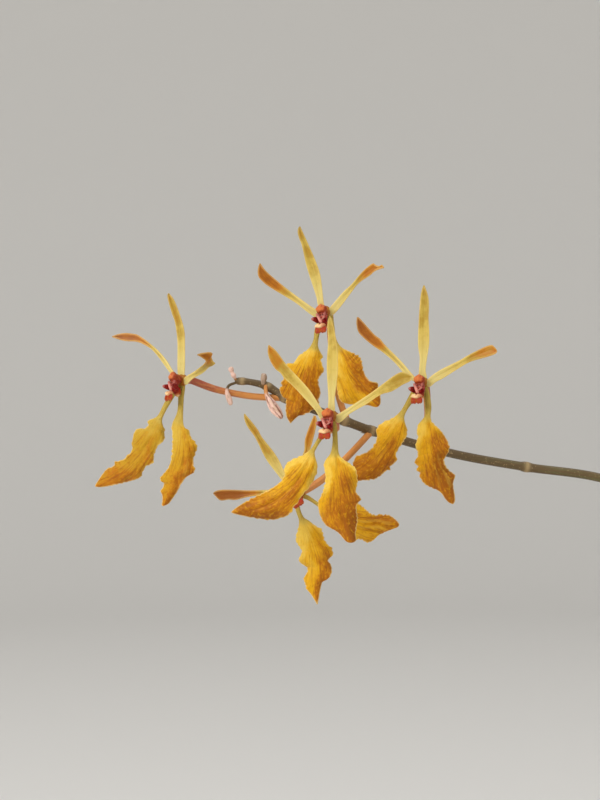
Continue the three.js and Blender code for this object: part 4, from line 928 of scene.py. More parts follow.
def sepal_finish(colours):
    """Blade that runs from pale yellow through gold to amber toward its tip and its right
    half, where the amber is partly painted shade, under fine veins that spread from the claw,
    with a pale claw and a thin pale rim. Painted highlight lies on the crests of the pleats and
    of the crinkles, and painted shade, with the veins' colour, in their troughs and in the deep
    creases. An olive tint on some sepals is partly painted shade."""
    finish = Finish("sepal_blade", 0.5, 0.15)
    patches = finish.noise((0.45, 0.2, 1.0), 1.0, 4.0, 0.6)
    veins = finish.noise((2.2, 0.09, 1.0), 1.0, 3.0, 0.65)
    hairs = finish.noise((2.7, 0.8, 1.0), 1.0, 3.0, 0.6, 0.5)
    blade = finish.without("claw")
    # Amber amount, whose rise on the right half is partly painted shade
    flush_and_shade = finish.plus("flush_and_shade", finish.band(patches, 0.35, 0.7, -0.22, 0.22))
    golden = finish.mix(colours.blade_pale, colours.blade_yellow, flush_and_shade, -0.7, 0.1)
    # Olive tint, partly painted shade on the left bloom's sepals
    golden = finish.mix(golden, colours.petal_olive, "olive")
    finish.base = finish.mix(golden, colours.blade_amber, flush_and_shade, 0.0, 0.85)
    finish.lay(colours.blade_deep, flush_and_shade, 0.6, 1.5, 0.0, 0.85)
    # Painted highlight: golden on the raised parts of the crinkles
    finish.lay(golden, hairs, 0.48, 0.68, 0.0, 0.5)

    amount = finish.times(finish.band(flush_and_shade, -0.5, 0.8, 0.2, 0.85), blade)
    finish.lay(colours.blade_vein, finish.times(finish.band(veins, 0.5, 0.66), amount))
    # Painted shade: vein colour in the low parts of the crinkles
    furrow_shade = finish.band(hairs, 0.48, 0.34, 0.0, 0.6)
    finish.lay(colours.blade_vein, finish.times(furrow_shade, amount))
    # Vein colour in the pleats' troughs: real veins and painted shade, with painted shade in the deep
    # creases
    trough_veins_and_shade = finish.band("pleat", 0.3, 1.1, 0.0, 0.65)
    finish.lay(colours.blade_vein, finish.times(trough_veins_and_shade, blade))
    # Painted highlight along the pleats' crests
    crest_highlight = finish.band("pleat", -0.25, -0.65, 0.0, 0.55)
    finish.lay(colours.blade_pale, finish.times(crest_highlight, blade))

    cream = finish.mix(colours.petal_yellow, colours.petal_olive, hairs, 0.35, 0.75, 0.1, 0.75)
    finish.lay(cream, "claw")
    rim = finish.times("rim", blade)
    finish.lay(colours.blade_rim, finish.times(rim, 0.6))
    finish.lay(colours.petal_olive, finish.times(finish.without("front"), 0.3))
    finish.bump(veins, 0.22)
    finish.bump(hairs, 0.16)
    finish.soak(0.08, 0.6)
    return finish.painted()


def petal_finish(colours):
    """Cream claw, olive strip along the middle, brown outer part, a pale rim, and painted shade at the foot
    beside the hub.
    """
    finish = Finish("petal_blade", 0.45, 0.25)
    streaks = finish.noise((2.0, 0.16, 1.0), 1.0, 3.0, 0.6)
    patches = finish.noise(EVEN, 0.35, 3.0, 0.6)
    brown = finish.uneven(finish.uneven("brown", streaks, 0.07), patches, 0.1)
    along = finish.trait("along")
    finish.base = finish.mix(colours.claw_cream, colours.petal_yellow, along, 0.12, 0.6)
    outer = finish.uneven(along, patches, 0.15)
    finish.lay(colours.petal_olive, outer, 0.5, 1.0, 0.0, 0.75)
    finish.lay(colours.petal_olive, "strip")
    finish.lay(colours.petal_olive, brown, 0.0, 0.35, 0.0, 0.7)
    finish.lay(colours.blade_amber, brown, 0.2, 0.7)
    finish.lay(colours.petal_brown, brown, 0.45, 1.0)
    finish.lay(colours.blade_rim, finish.times("rim", 0.3))
    # Painted shade at the foot of each narrow tepal, beside the hub
    finish.lay(colours.petal_brown, along, 0.0, 0.06, 0.4, 0.0)
    finish.lay(colours.petal_olive, finish.times(finish.without("front"), 0.3))
    finish.bump(streaks, 0.06)
    finish.bump(finish.noise(EVEN, 5.0, 2.0), 0.04)
    finish.soak(0.12, 0.8)
    return finish.painted()


def column_finish(colours):
    """Orange cap with red-brown flanks, which on the cap are partly painted shade on its right,
    lower and back sides, over a wine-red column, pink streaks and painted shade in the pits of
    the stigma, and pale pink wings."""
    finish = Finish("column_cap", 0.45, 0.25)
    mottle = finish.noise(EVEN, 1.4, 3.0, 0.6)
    # Red flanks; on the cap they are partly painted shade to the right, below and behind
    flank = finish.uneven("flank", mottle, 0.3)
    cap = finish.mix(colours.cap_orange, colours.cap_red, flank, 0.0, 1.0)
    shaft = finish.mix(colours.cap_red, colours.lip_red, mottle, 0.35, 0.6)
    finish.base = finish.mix(shaft, cap, "cap")
    streaks = finish.band(finish.noise((2.0, 0.6, 0.6), 1.0, 2.0), 0.46, 0.6)
    rosy = finish.mix(colours.stigma_pink, colours.lip_orange, 0.35)
    finish.lay(rosy, finish.times(streaks, "stigma"))
    pale = finish.mix(colours.stigma_pink, rosy, mottle, 0.4, 0.7)
    finish.lay(pale, "wing")
    # Painted shade in the stigma's two pits
    finish.lay(colours.bark_dark_and_shade, "pit")
    finish.bump(mottle, 0.08)
    finish.soak(0.05, 0.4)
    return finish.painted()


def lip_finish(colours):
    """Wine-red throat and side lobes, orange-red front lobes, and a cream ridge."""
    finish = Finish("lip", 0.45, 0.12)
    mottle = finish.noise(EVEN, 1.2, 3.0, 0.6)
    blots = finish.noise((0.8, 0.5, 0.8), 0.9, 2.0)
    orange = finish.mix(colours.lip_orange, colours.cap_red, mottle, 0.4, 0.7)
    orange = finish.mix(orange, colours.blade_amber, blots, 0.5, 0.72, 0.0, 0.6)
    cream = finish.mix(colours.callus_cream, colours.cap_orange, mottle, 0.45, 0.75, 0.0, 0.6)
    finish.base = finish.mix(colours.lip_red, colours.cap_red, mottle, 0.45, 0.75)
    finish.lay(orange, "orange")
    finish.lay(cream, "cream")
    finish.lay(colours.stigma_pink, "pink")
    finish.bump(mottle, 0.08)
    finish.soak(0.05, 0.4)
    return finish.painted()


def pedicel_finish(colours):
    """Rose at the bloom, orange-brown toward the stem, streaked and finely dotted."""
    finish = Finish("pedicel", 0.45, 0.4)
    streaks = finish.noise((1.8, 1.8, 0.25), 1.0, 3.0, 0.6)
    shade = finish.uneven("rosy", streaks, 0.18)
    finish.base = finish.mix(colours.pedicel_orange, colours.pedicel_rose, shade, 0.25, 0.95)
    finish.lay(colours.node_pale, finish.noise(EVEN, 3.2, 2.0), 0.58, 0.7, 0.0, 0.35)
    finish.bump(streaks, 0.08)
    finish.soak(0.06, 0.6)
    return finish.painted()


def flower_stem_finish(colours):
    """Olive stem that browns toward its flowering end, with pale dots and dry node rings."""
    finish = Finish("flower_stem", 0.5, 0.4)
    streaks = finish.noise((1.4, 1.4, 0.12), 1.0, 4.0, 0.6)
    browned = finish.uneven("along", streaks, 0.2)
    finish.base = finish.mix(colours.stem_olive, colours.stem_brown, browned, 0.2, 0.75)
    finish.lay(colours.node_pale, finish.noise(EVEN, 1.9, 2.0), 0.62, 0.7, 0.0, 0.6)
    finish.lay(colours.node_pale, finish.times("ring", 0.7))
    finish.bump(streaks, 0.1)
    return finish.painted()


def bract_finish(colours):
    """Dry papery scale with brown fibres."""
    finish = Finish("bract", 0.7, 0.3)
    fibres = finish.noise((3.0, 0.5, 1.0), 1.0, 3.0, 0.6)
    finish.base = finish.mix(colours.node_pale, colours.stem_brown, fibres, 0.4, 0.7)
    finish.bump(fibres, 0.06)
    return finish.painted()


def bud_finish(colours):
    """Pale pink ribs with brown stripes between them, on a brown or orange stalk."""
    finish = Finish("bud", 0.5, 0.4)
    mottle = finish.noise((1.2, 1.2, 0.4), 1.0, 3.0, 0.6)
    ribs = finish.mix(colours.bud_pink, colours.node_pale, mottle, 0.4, 0.75, 0.0, 0.55)
    finish.base = finish.mix(colours.stem_olive, ribs, "pale")
    stripe = finish.uneven("groove", mottle, 0.3)
    finish.lay(colours.bud_brown, stripe, 0.3, 0.85, 0.0, 0.8)
    stalk = finish.mix(colours.stem_brown, colours.pedicel_orange, "warmth")
    finish.lay(stalk, "stalk")
    finish.bump(mottle, 0.1)
    finish.soak(0.06, 0.5)
    return finish.painted()


def leaf_finish(colours):
    """Leathery green with fine parallel veins, a lighter midrib and underside, a yellowed
    foot and a few pale flecks."""
    finish = Finish("leaf", 0.38, 0.45)
    veins = finish.noise((1.6, 0.02, 1.0), 1.0, 3.0, 0.55)
    clouds = finish.noise((0.16, 0.05, 0.16), 1.0, 4.0, 0.6)
    finish.base = finish.mix(colours.leaf_green, colours.leaf_light, veins, 0.35, 0.8, 0.0, 0.5)
    finish.lay(colours.leaf_light, clouds, 0.45, 0.8, 0.0, 0.45)
    finish.lay(colours.leaf_light, finish.times(finish.without("front"), 0.55))
    finish.lay(colours.leaf_light, finish.times("midrib", 0.5))
    finish.lay(colours.leaf_base, "along", 0.0, 0.1, 0.85, 0.0)
    flecks = finish.noise((0.9, 0.5, 0.9), 1.0, 2.0)
    finish.lay(colours.leaf_base, flecks, 0.68, 0.76, 0.0, 0.5)
    finish.lay(colours.leaf_base, "margin", 0.93, 1.0, 0.0, 0.5)
    finish.feed(finish.shader.inputs["Roughness"], finish.band(clouds, 0.3, 0.7, 0.32, 0.5))
    finish.bump(veins, 0.12)
    finish.soak(0.05, 1.0)
    return finish.painted()


def sheath_finish(colours):
    """Dry straw-coloured sheaths with brown fibres, fresher and greener toward the top."""
    finish = Finish("leaf_sheath", 0.62, 0.35)
    fibres = finish.noise((1.2, 1.2, 0.05), 1.0, 4.0, 0.6)
    stains = finish.noise((0.16, 0.16, 0.1), 1.0, 3.0, 0.6)
    fresh = finish.uneven("height", stains, 0.2)
    finish.base = finish.mix(colours.sheath_straw, colours.sheath_green, fresh, 0.35, 0.85)
    finish.lay(colours.sheath_brown, fibres, 0.5, 0.75, 0.0, 0.7)
    finish.lay(colours.sheath_brown, stains, 0.5, 0.72, 0.0, 0.6)
    finish.lay(colours.sheath_brown, finish.times("edge", 0.55))
    finish.bump(fibres, 0.16)
    return finish.painted()


def root_finish(colours):
    """Silvery spongy coat with brown wear, and a green growing tip."""
    finish = Finish("root", 0.75, 0.3)
    patches = finish.noise((0.35, 0.35, 0.12), 1.0, 4.0, 0.65)
    pores = finish.noise(EVEN, 3.0, 3.0, 0.6)
    finish.base = finish.mix(colours.root_silver, colours.sheath_straw, patches, 0.45, 0.75, 0.0, 0.75)
    finish.lay(colours.root_green, patches, 0.5, 0.3, 0.0, 0.35)
    finish.lay(colours.root_green, "tip")
    finish.lay(colours.sheath_brown, pores, 0.62, 0.78, 0.0, 0.45)
    finish.bump(pores, 0.12)
    finish.bump(patches, 0.3)
    return finish.painted()


def bark_finish(colours):
    """Layered bark: reddish-brown broken faces with darker layers, thin papery layers, and painted shade on
    the bed that shows between the chips.
    """
    finish = Finish("bark", 0.88, 0.25)
    layers = finish.noise((0.12, 0.2, 1.5), 1.0, 4.0, 0.6, 0.4)
    grit = finish.noise(EVEN, 1.1, 4.0, 0.7)
    finish.base = finish.mix(colours.bark_brown, colours.bark_dark_and_shade, layers, 0.38, 0.68)
    # Painted shade: the bed between the chips is dark all over; each chip has its own random tone
    finish.lay(colours.bark_dark_and_shade, finish.times("tone_and_gap_shade", 0.75))
    finish.lay(colours.sheath_straw, grit, 0.58, 0.82, 0.0, 0.4)
    finish.bump(layers, 0.5)
    finish.bump(grit, 0.3)
    return finish.painted()


def clay_finish(colours):
    """Fired clay: mottled orange-brown, darker where damp near the foot, with white salts
    in uneven patches above it and a fine grit."""
    finish = Finish("terracotta", 0.85, 0.3)
    broad = (0.02, 0.02, 0.02)
    clouds = finish.noise(broad, 1.6, 5.0, 0.6)
    bands = finish.noise((0.004, 0.004, 0.06), 1.0, 4.0, 0.6)
    grit = finish.noise(EVEN, 1.3, 3.0, 0.7)
    place = finish.node("ShaderNodeTexCoord", {}).outputs["Object"]
    height = finish.node("ShaderNodeSeparateXYZ", {"Vector": place}).outputs["Z"]
    finish.base = finish.mix(colours.terracotta, colours.terracotta_dark, clouds, 0.4, 0.75, 0.0, 0.7)
    finish.lay(colours.terracotta_dark, bands, 0.5, 0.75, 0.0, 0.35)
    damp = finish.uneven(height, clouds, 0.02)
    finish.lay(colours.terracotta_dark, damp, 0.0, 0.045, 0.6, 0.0)
    crust = finish.band(finish.noise(broad, 4.2, 6.0, 0.7), 0.5, 0.68)
    dried = finish.band(finish.uneven(height, clouds, 0.03), 0.03, 0.075, 0.75, 0.12)
    finish.lay(colours.lime_white, finish.times(crust, dried))
    finish.lay(colours.lime_white, grit, 0.66, 0.8, 0.0, 0.45)
    finish.lay(colours.terracotta_dark, grit, 0.36, 0.24, 0.0, 0.5)
    finish.bump(grit, 0.14)
    finish.bump(clouds, 0.5)
    return finish.painted()


def backdrop_finish(colours):
    """Plain matt paint."""
    finish = Finish("backdrop", 0.9, 0.2)
    finish.base = colours.backdrop
    return finish.painted()


def bloom_axes(bloom, turned=0.0):
    """The bloom's own axes as columns (right, up toward the dorsal sepal, out of its face)
    and its hub: out is -Y turned by the facing and the nod, up is Z laid square to it and
    leaned over. The facing may be turned farther by degrees."""
    facing, nod, lean = (
        math.radians(angle) for angle in (bloom["facing"] + turned, bloom["nod"], bloom["lean"]))
    out = np.array([
        -math.sin(facing) * math.cos(nod), -math.cos(facing) * math.cos(nod), -math.sin(nod)])
    plumb = np.array([0.0, 0.0, 1.0])
    plumb = unit_rows(plumb - plumb @ out * out)
    level = np.cross(plumb, out)
    up = plumb * math.cos(lean) - level * math.sin(lean)
    right = np.cross(up, out)
    hub = sight_point(*bloom["hub"], np.array(float(bloom["depth"])))
    return np.stack([right, up, out], axis=1), hub


def heart_axes(bloom):
    """Axes and foot of a bloom's column and lip, which face farther left than its tepals
    and may sit higher on the hub."""
    axes, hub = bloom_axes(bloom, bloom["heart_turn"])
    return axes, hub + axes[:, 1] * bloom.get("heart_lift", 0.0)


def plane_depth(bloom, x, z):
    """Depth of the bloom's own plane at an offset from its hub: the hub's depth, less x
    times the tangent of the facing and z times that of the nod."""
    return (
        bloom["depth"] - x * math.tan(math.radians(bloom["facing"]))
        - z * math.tan(math.radians(bloom["nod"])))


def straightened(flat, middle, seed):
    """Places across and along a smoothed middle line, in millimetres: the line is a running
    mean, and each point is measured from it square to its heading."""
    reach = len(middle) // 5
    padded = np.vstack([
        2 * middle[0] - middle[reach:0:-1], middle, 2 * middle[-1] - middle[-2:-reach - 2:-1]])
    smooth = running_mean(padded, 2 * reach + 1)
    heading = unit_rows(np.gradient(smooth, axis=0))
    run = run_along(smooth)
    away = flat - smooth[:, None, :]
    across = away[..., 0] * -heading[:, 1:2] + away[..., 1] * heading[:, 0:1]
    along = run[:, None] + away[..., 0] * heading[:, 0:1] + away[..., 1] * heading[:, 1:2]
    return np.stack([across, along, np.full(across.shape, 9.0 * seed)], axis=-1)


def tepal_grid(edges, grid, seed, frill=0.0):
    """Grid between a tepal's two drawn edges, each walked at an even pace from inside the
    hub to the tip. A frill juts out unevenly along the broad part. Returns the places x, z
    from the hub, the grain, the shares along (0 to 1) and across (-1 to 1), the span, and
    how near each place is to the rim (0 to 1)."""
    u, v = blade_grid(*grid)
    left, right = (
        even_points([np.multiply(edge[0], TEPAL_ROOT), *edge], u[:, 0], carried_on=False)[0]
        for edge in edges)
    chord = right - left
    span = np.linalg.norm(chord, axis=1, keepdims=True)
    frilled = frill * smoothstep(3.0, 6.0, span) * unit_rows(chord)
    left = left - frilled * soft_noise(u * 45.0, 1.7, seed + 20)[:, None]
    right = right + frilled * soft_noise(u * 45.0, 1.7, seed + 30)[:, None]
    share = (v[..., None] + 1.0) / 2
    flat = left[:, None, :] * (1 - share) + right[:, None, :] * share
    rim = 1.0 - smoothstep(0.35, 1.0, (1 - np.abs(v)) * span / 2 / RIM_WIDTH)
    return flat, straightened(flat, (left + right) / 2, seed), u, v, span, rim


def spread_grain(grain):
    """Places on lines that spread from the end of the claw: the angle from the middle line
    times the vein radius, and the distance from the lines' foot."""
    ahead = np.maximum(grain[..., 1] - VEIN_FOOT, 1.0)
    angle = np.arctan2(grain[..., 0], ahead)
    return np.stack([angle * VEIN_RADIUS, np.hypot(grain[..., 0], ahead), grain[..., 2]], axis=-1)


def sepal_shell(bloom, sepal, sizes, seed):
    """Broad sepal between its two drawn edges. Its depth is the bloom's plane, less a bow
    along it, plus an arch across it, waves and ruffles that grow toward the margins, pleats
    that run along it, a crease, and the relief of the veins."""
    frill = sizes.margin_frill / MM
    flat, grain, uu, vv, span, rim = tepal_grid(sepal["edges"], SEPAL_GRID, seed, frill)
    x, z = flat[..., 0], flat[..., 1]
    broad = smoothstep(2.2, 5.5, span)
    breadth = np.minimum(span / 9.0, 1.0)
    late = np.where(vv > 0, 0.35, 0.0)
    swing = np.sin(TURN * (sepal["turns"] * uu + sepal["phase"] + late))
    depth = plane_depth(bloom, x, z) - sepal["bow"] * np.sin(math.pi * uu) ** 2
    depth = depth + SEPAL_ARCH * vv ** 2 * breadth + sepal["wave"] * vv ** 2 * breadth * swing
    ruffle = np.sin(TURN * (2.7 * sepal["turns"] * uu + 2.1 * sepal["phase"] + 1.7 * late))
    depth = depth + sizes.margin_ruffle / MM * np.abs(vv) ** 3 * broad * ruffle

    gap, deep, start = sepal["pleats"]
    veins = spread_grain(grain)
    opened = smoothstep(4.0, 13.0, veins[..., 1])
    shoulder = smoothstep(0.35, 0.9, np.abs(vv)) * smoothstep(0.8, 0.35, uu)
    shown = smoothstep(start - 0.1, start + 0.25, uu) * broad * (1 - vv ** 8) * opened * (1 - shoulder)
    shown = shown * (0.7 + 0.3 * soft_noise(veins[..., :1], 3.1 * gap, seed + 5, 6))
    shown = shown * smoothstep(1.0, 0.6, np.abs(veins[..., 0]) / VEIN_RADIUS)
    wander = 0.35 * soft_noise(veins[..., :2], 9.0, seed + 6, 6)
    place = TURN * ((veins[..., 0] + wander) / gap + sepal["phase"])
    pleat = (np.cos(place) + 0.3 * np.cos(2 * place)) * shown
    crease_at, crease_deep = sepal["crease"]
    crease = bell(grain[..., 0] - crease_at, 0.7)
    crease = crease * smoothstep(0.22, 0.4, uu) * smoothstep(1.0, 0.75, uu)
    depth = depth + deep * pleat + crease_deep * crease
    buckle = soft_noise(veins[..., :2] * [1.0, 0.3], 1.3, seed + 3, 14)
    depth = depth + sizes.vein_relief / MM * buckle * broad * opened
    surface = sight_point(bloom["hub"][0] + x, bloom["hub"][1] + z, depth)

    # Amber along the sepal; its rise on the right half is partly painted shade
    low, high, right_amber_and_shade = sepal["flush_and_shade"]
    claw = (1.0 - smoothstep(2.1, 5.2, span) * smoothstep(0.1, 0.32, uu)) * smoothstep(0.5, 0.35, uu)
    paler = 0.6 * smoothstep(0.5, 0.25, uu) + sepal.get("hem", 0.5) * shoulder
    traits = {
        "flush_and_shade": (uu - low) / (high - low) + 0.6 * right_amber_and_shade * smoothstep(-0.25, 0.5, vv) - paler,
        # Olive tint, partly painted shade on the left bloom
        "olive": sepal.get("olive", 0.0),
        "claw": claw,
        "rim": rim,
        # Pleats' troughs carry vein colour and painted shade, their crests painted highlight, and deep
        # creases painted shade
        "pleat": np.clip(pleat, -1, 1) * deep / 0.24 + 0.55 * crease * (crease_deep > 0.4),
    }
    half = sizes.sepal_thickness / MM / 2 * edge_fall(vv, 5) * (0.55 + 0.45 * (1 - vv ** 2))
    half = half * (1.0 + 0.25 * claw) * (1.0 - 0.5 * smoothstep(0.95, 1.0, uu))
    return blade_shell(surface, veins, traits, half, half)


def narrow_shell(bloom, row, sizes, seed):
    """Spoon-shaped narrow tepal between its two drawn edges. Its depth is the bloom's plane,
    less how far it stands forward, with a channel along the middle and a slow twist."""
    flat, grain, uu, vv, _, rim = tepal_grid(bloom["narrow"][row], PETAL_GRID, seed)
    x, z = flat[..., 0], flat[..., 1]
    standing = curve_points(np.array(bloom["forward"][row])[:, None], uu[:, 0], spacing=0.0)
    channel = CHANNEL_DEPTH * vv ** 2 - 0.07 * bell(vv, 0.2) * smoothstep(0.0, 0.2, uu)
    twist = 0.3 * vv * np.sin(math.pi * (1.4 * uu + 0.21 * seed)) * smoothstep(0.3, 0.8, uu)
    depth = plane_depth(bloom, x, z) - standing - channel - twist
    surface = sight_point(bloom["hub"][0] + x, bloom["hub"][1] + z, depth)
    amount, start = bloom["brown"][row]
    traits = {
        "brown": amount * smoothstep(start - 0.2, start + 0.3, uu) * (1.0 - 0.2 * vv ** 2),
        "strip": 0.45 * min(amount, 1.0) * smoothstep(0.85, 0.2, np.abs(vv)) * smoothstep(0.1, 0.4, uu),
        "rim": rim,
        "along": uu,
    }
    half = sizes.petal_thickness / MM / 2 * edge_fall(vv, 4) * (0.7 + 0.3 * (1 - vv ** 2))
    half = half * (1.25 - 0.25 * smoothstep(0.2, 0.5, uu)) * (1.0 - 0.5 * smoothstep(0.93, 1.0, uu))
    return blade_shell(surface, grain, traits, half, half)


def hub_shell(bloom):
    """Flattened ball in the bloom's axes where its tepals meet."""
    shell = round_shell(HUB, HUB_GRID)
    every = np.ones(len(shell.points))
    shell.traits = {"brown": 0.55 * every, "strip": 0.4 * every, "front": every}
    return shell.moved(*bloom_axes(bloom))


def heart_part(bloom, centre, radii, roll=0.0, dent=None, **traits):
    """Rounded part of a bloom's heart: a dented ball in the bloom's axes, rolled by degrees
    about the axis out of its face. A trait is a number or a function of x, y, z on the ball."""
    shell = round_shell(radii, HEART_GRID, dent)
    x, y, z = (shell.grain / np.asarray(radii, float)).T
    shell.traits = {
        name: (value(x, y, z) if callable(value) else value) + 0 * x for name, value in traits.items()}
    turn = math.radians(roll)
    spun = [[math.cos(turn), -math.sin(turn), 0], [math.sin(turn), math.cos(turn), 0], [0, 0, 1]]
    return shell.moved(spun, centre).moved(*heart_axes(bloom))


def column_shells(bloom):
    """Column: a short shaft, the hollow of the stigma with two pits under a five-sided cap
    with a ridge over it, and a wing on each side of the hollow."""
    def helmet(ball):
        """Five corners, a ridge over the upper half, folds in the lower, a mouth at its foot."""
        x, y = ball[..., 0], ball[..., 1]
        corner = TURN / 5
        side = (np.arctan2(y, x) - TURN / 4) % corner - corner / 2
        five_sided = 0.6 * (math.cos(corner / 2) / np.cos(side) - 0.9)
        ridge = 0.1 * bell(x, 0.12) * smoothstep(-0.2, 0.5, y)
        folds = 0.03 * np.cos(9 * x) * smoothstep(0.6, -0.2, y)
        mouth = 0.3 * np.exp(-(x / 0.45) ** 2 - ((y + 0.95) / 0.4) ** 2)
        return five_sided * (x ** 2 + y ** 2) + ridge + folds - mouth

    def hollow(ball):
        """A broad bell-shaped dent in the front with two narrow ones in it."""
        x, y, front = ball[..., 0], ball[..., 1], smoothstep(0.0, 0.7, ball[..., 2])
        pits = np.exp(-((np.abs(x) - 0.28) / 0.13) ** 2 - ((y - 0.05) / 0.17) ** 2)
        return -(0.35 * np.exp(-(x / 0.7) ** 2 - ((y - 0.1) / 0.6) ** 2) + 0.2 * pits) * front

    def flare(ball):
        """Wider toward the lower end and drawn in at the upper one."""
        x, y = ball[..., 0], ball[..., 1]
        return 0.45 * smoothstep(0.0, -0.9, y) * np.abs(x) - 0.2 * smoothstep(0.4, 1.0, y)

    shaft = heart_part(
        bloom, (0.1, 0.2, 2.1), (1.5, 1.55, 1.8), cap=lambda x, y, z: 0.7 * smoothstep(-0.6, 0.2, y),
        flank=0.62)
    stigma = heart_part(
        bloom, (0.25, -0.9, 3.0), (1.5, 1.6, 1.3), dent=hollow,
        stigma=lambda x, y, z: smoothstep(0.0, 0.7, z) * smoothstep(-1.0, -0.2, y),
        # Painted shade in the two pits of the stigma
        pit=lambda x, y, z: np.exp(-((np.abs(x) - 0.2) / 0.12) ** 2 - ((y - 0.03) / 0.14) ** 2) * (z > 0))
    cap = heart_part(
        bloom, (0.25, 0.75, 3.3), (1.75, 1.5, 1.3), dent=helmet, cap=1.0,
        # Red flanks and painted shade: darker to the right, below and behind
        flank=lambda x, y, z: (
            smoothstep(0.0, -0.6, y) + 0.3 * smoothstep(0.0, 0.15, x) + 0.6 * smoothstep(0.25, 0.9, x)
            + 0.6 * smoothstep(0.3, -0.3, z)))
    wings = [
        heart_part(
            bloom, (-0.75, -1.45, 4.0), (0.44, 1.75, 0.5), roll=22.0, dent=flare,
            wing=lambda x, y, z: 0.6 + 0.4 * smoothstep(0.5, -0.5, y)),
        heart_part(bloom, (1.2, -0.9, 3.6), (0.3, 1.1, 0.5), roll=-12.0, wing=0.35),
        heart_part(bloom, (0.75, -1.9, 4.0), (0.85, 0.26, 0.4), roll=28.0, wing=0.55)]
    return [shaft, stigma, cap, *wings]


def lobe_shell(bloom, foot, heading, across, size, cup, orange, pale_rim):
    """Small fleshy lobe: a rounded rectangle that runs from its foot along its heading,
    with its width along the across direction, cupped toward its thickness."""
    u, v = blade_grid(*LOBE_GRID)
    long, wide, thick, tip_share = size
    heading, across = unit_rows(np.array(heading, float)), np.array(across, float)
    across = unit_rows(across - across @ heading * heading)
    normal = np.cross(heading, across)
    outline = edge_fall(1.0 - u, 6) * edge_fall(u, 9)
    half = wide / 2 * outline * blend(1.0, tip_share, u)
    lift = cup * (v ** 2 + 1.3 * u ** 2)
    middle = (
        np.array(foot, float) + (long * u)[..., None] * heading + (half * v)[..., None] * across
        + lift[..., None] * normal)
    flat = thick / 2 * edge_fall(v, 4) * outline
    traits = {
        "orange": orange,
        "pink": pale_rim * smoothstep(0.75, 1.0, np.maximum(np.abs(v) - 0.05, u))}
    return blade_shell(middle, middle, traits, flat, flat).moved(*heart_axes(bloom))


def lip_shells(bloom):
    """Lip under the column: a throat, a short spur behind it, two upright side lobes, a pale
    ridge with a hollow in its middle, and a front lobe cleft in two."""
    def mouth(ball):
        """A bell-shaped dent in the front."""
        return -0.4 * np.exp(-((ball[..., 2] - 1.0) / 0.5) ** 2 - (ball[..., 0] / 0.7) ** 2)

    def saddle(ball):
        """A notch in the upper half, a bulge below it and fine lumps."""
        notch = bell(ball[..., 0], 0.16) * smoothstep(-0.1, 0.7, ball[..., 1])
        sag = 0.22 * bell(ball[..., 0], 0.4) * smoothstep(0.2, -0.6, ball[..., 1])
        return 0.08 * soft_noise(ball, 0.9, 5) - 0.5 * notch + sag

    parts = [
        heart_part(
            bloom, (0, -2.6, 3.0), (1.4, 1.4, 1.6), dent=mouth,
            pink=lambda x, y, z: 0.6 * bell(x + 0.15, 0.2) * smoothstep(-0.2, 0.5, z)),
        heart_part(
            bloom, (0, -3.5, 1.9), (1.05, 1.6, 1.15), orange=0.75,
            cream=lambda x, y, z: 0.8 * smoothstep(-0.3, -0.95, y)),
        heart_part(
            bloom, (-0.35, -3.95, 4.7), (1.75, 0.7, 0.8), dent=saddle,
            cream=lambda x, y, z: 0.95 - 0.55 * smoothstep(0.0, 0.6, x) - 0.5 * (
                bell(x, 0.14) * smoothstep(0.0, 0.5, y)),
            orange=1.0)]
    for side, pale_rim in ((-1, 0.5), (1, 0.12)):
        parts.append(lobe_shell(
            bloom, (side * 1.1, -2.3, 2.6), (side * 0.26, 0.2, 0.93), (0.0, 1.0, 0.0),
            (3.2, 2.6, 0.5, 0.3), -side * 0.3, 0.0, pale_rim))
        parts.append(lobe_shell(
            bloom, (side * 0.76 - 0.35, -4.3, 4.6), (side * 0.09, -1.0, 0.15), (1.0, side * 0.14, 0.0),
            (1.9, 2.0, 0.9, 0.92), 0.15, 1.0, 0.1))
    return parts


def pedicel_shell(bloom):
    """Pedicel: a tube from the flower stem to the hub's back with six twisted ribs, which
    stand out more toward the ovary."""
    axes, hub = bloom_axes(bloom)
    behind = [hub - axes[:, 2] * depth for depth in (5.0, 2.2, 1.0)]
    route = [*PEDICEL_ROUTES[bloom["name"]], *behind]

    def radius_at(share, angle):
        """Swells toward both ends, times one plus the ribs."""
        swell = 1.0 + 0.14 * smoothstep(0.4, 0.9, share) + 0.12 * smoothstep(0.06, 0.0, share)
        ribs = np.cos(6 * angle + 5.0 * share) * (0.03 + 0.05 * smoothstep(0.3, 0.8, share))
        return swell * (1.0 + ribs)

    def traits_at(share, _):
        """How rosy: the share of the way, times the bloom's own amount."""
        return {"rosy": share * bloom.get("rosy", 1.0)}
    return tube_shell(route, PEDICEL_GRID, radius_at, traits_at)


def flower_stem_shells():
    """Flower stem: a tube that thins toward its tip, with a swollen dry ring at each node,
    a slight knee and faint ribs."""
    nodes = np.array(STEM_NODES)[:, None, None]

    def ring(share, reach):
        """The highest of the bell curves of the given reach, one on each node."""
        return bell(share[None] - nodes, reach).max(axis=0)

    def radius_at(share, angle):
        """Thins along the way and at the tip, plus two sets of ribs and the nodes' rings."""
        base = blend(PEDUNCLE_RADIUS, RACHIS_RADIUS, smoothstep(0.0, 0.5, share))
        base = base * (1.0 - 0.35 * smoothstep(0.93, 1.0, share))
        ribs = 0.03 * np.cos(9 * angle + 4 * share) + 0.03 * np.cos(5 * angle - 9 * share)
        return base + ribs + 0.3 * ring(share, 0.0045) + 0.12 * ring(share - 0.004, 0.0012)

    def traits_at(share, _):
        """A narrow bell curve on each node."""
        return {"ring": ring(share, 0.0028)}
    return [tube_shell(FLOWER_STEM_ROUTE, FLOWER_STEM_GRID, radius_at, traits_at)]


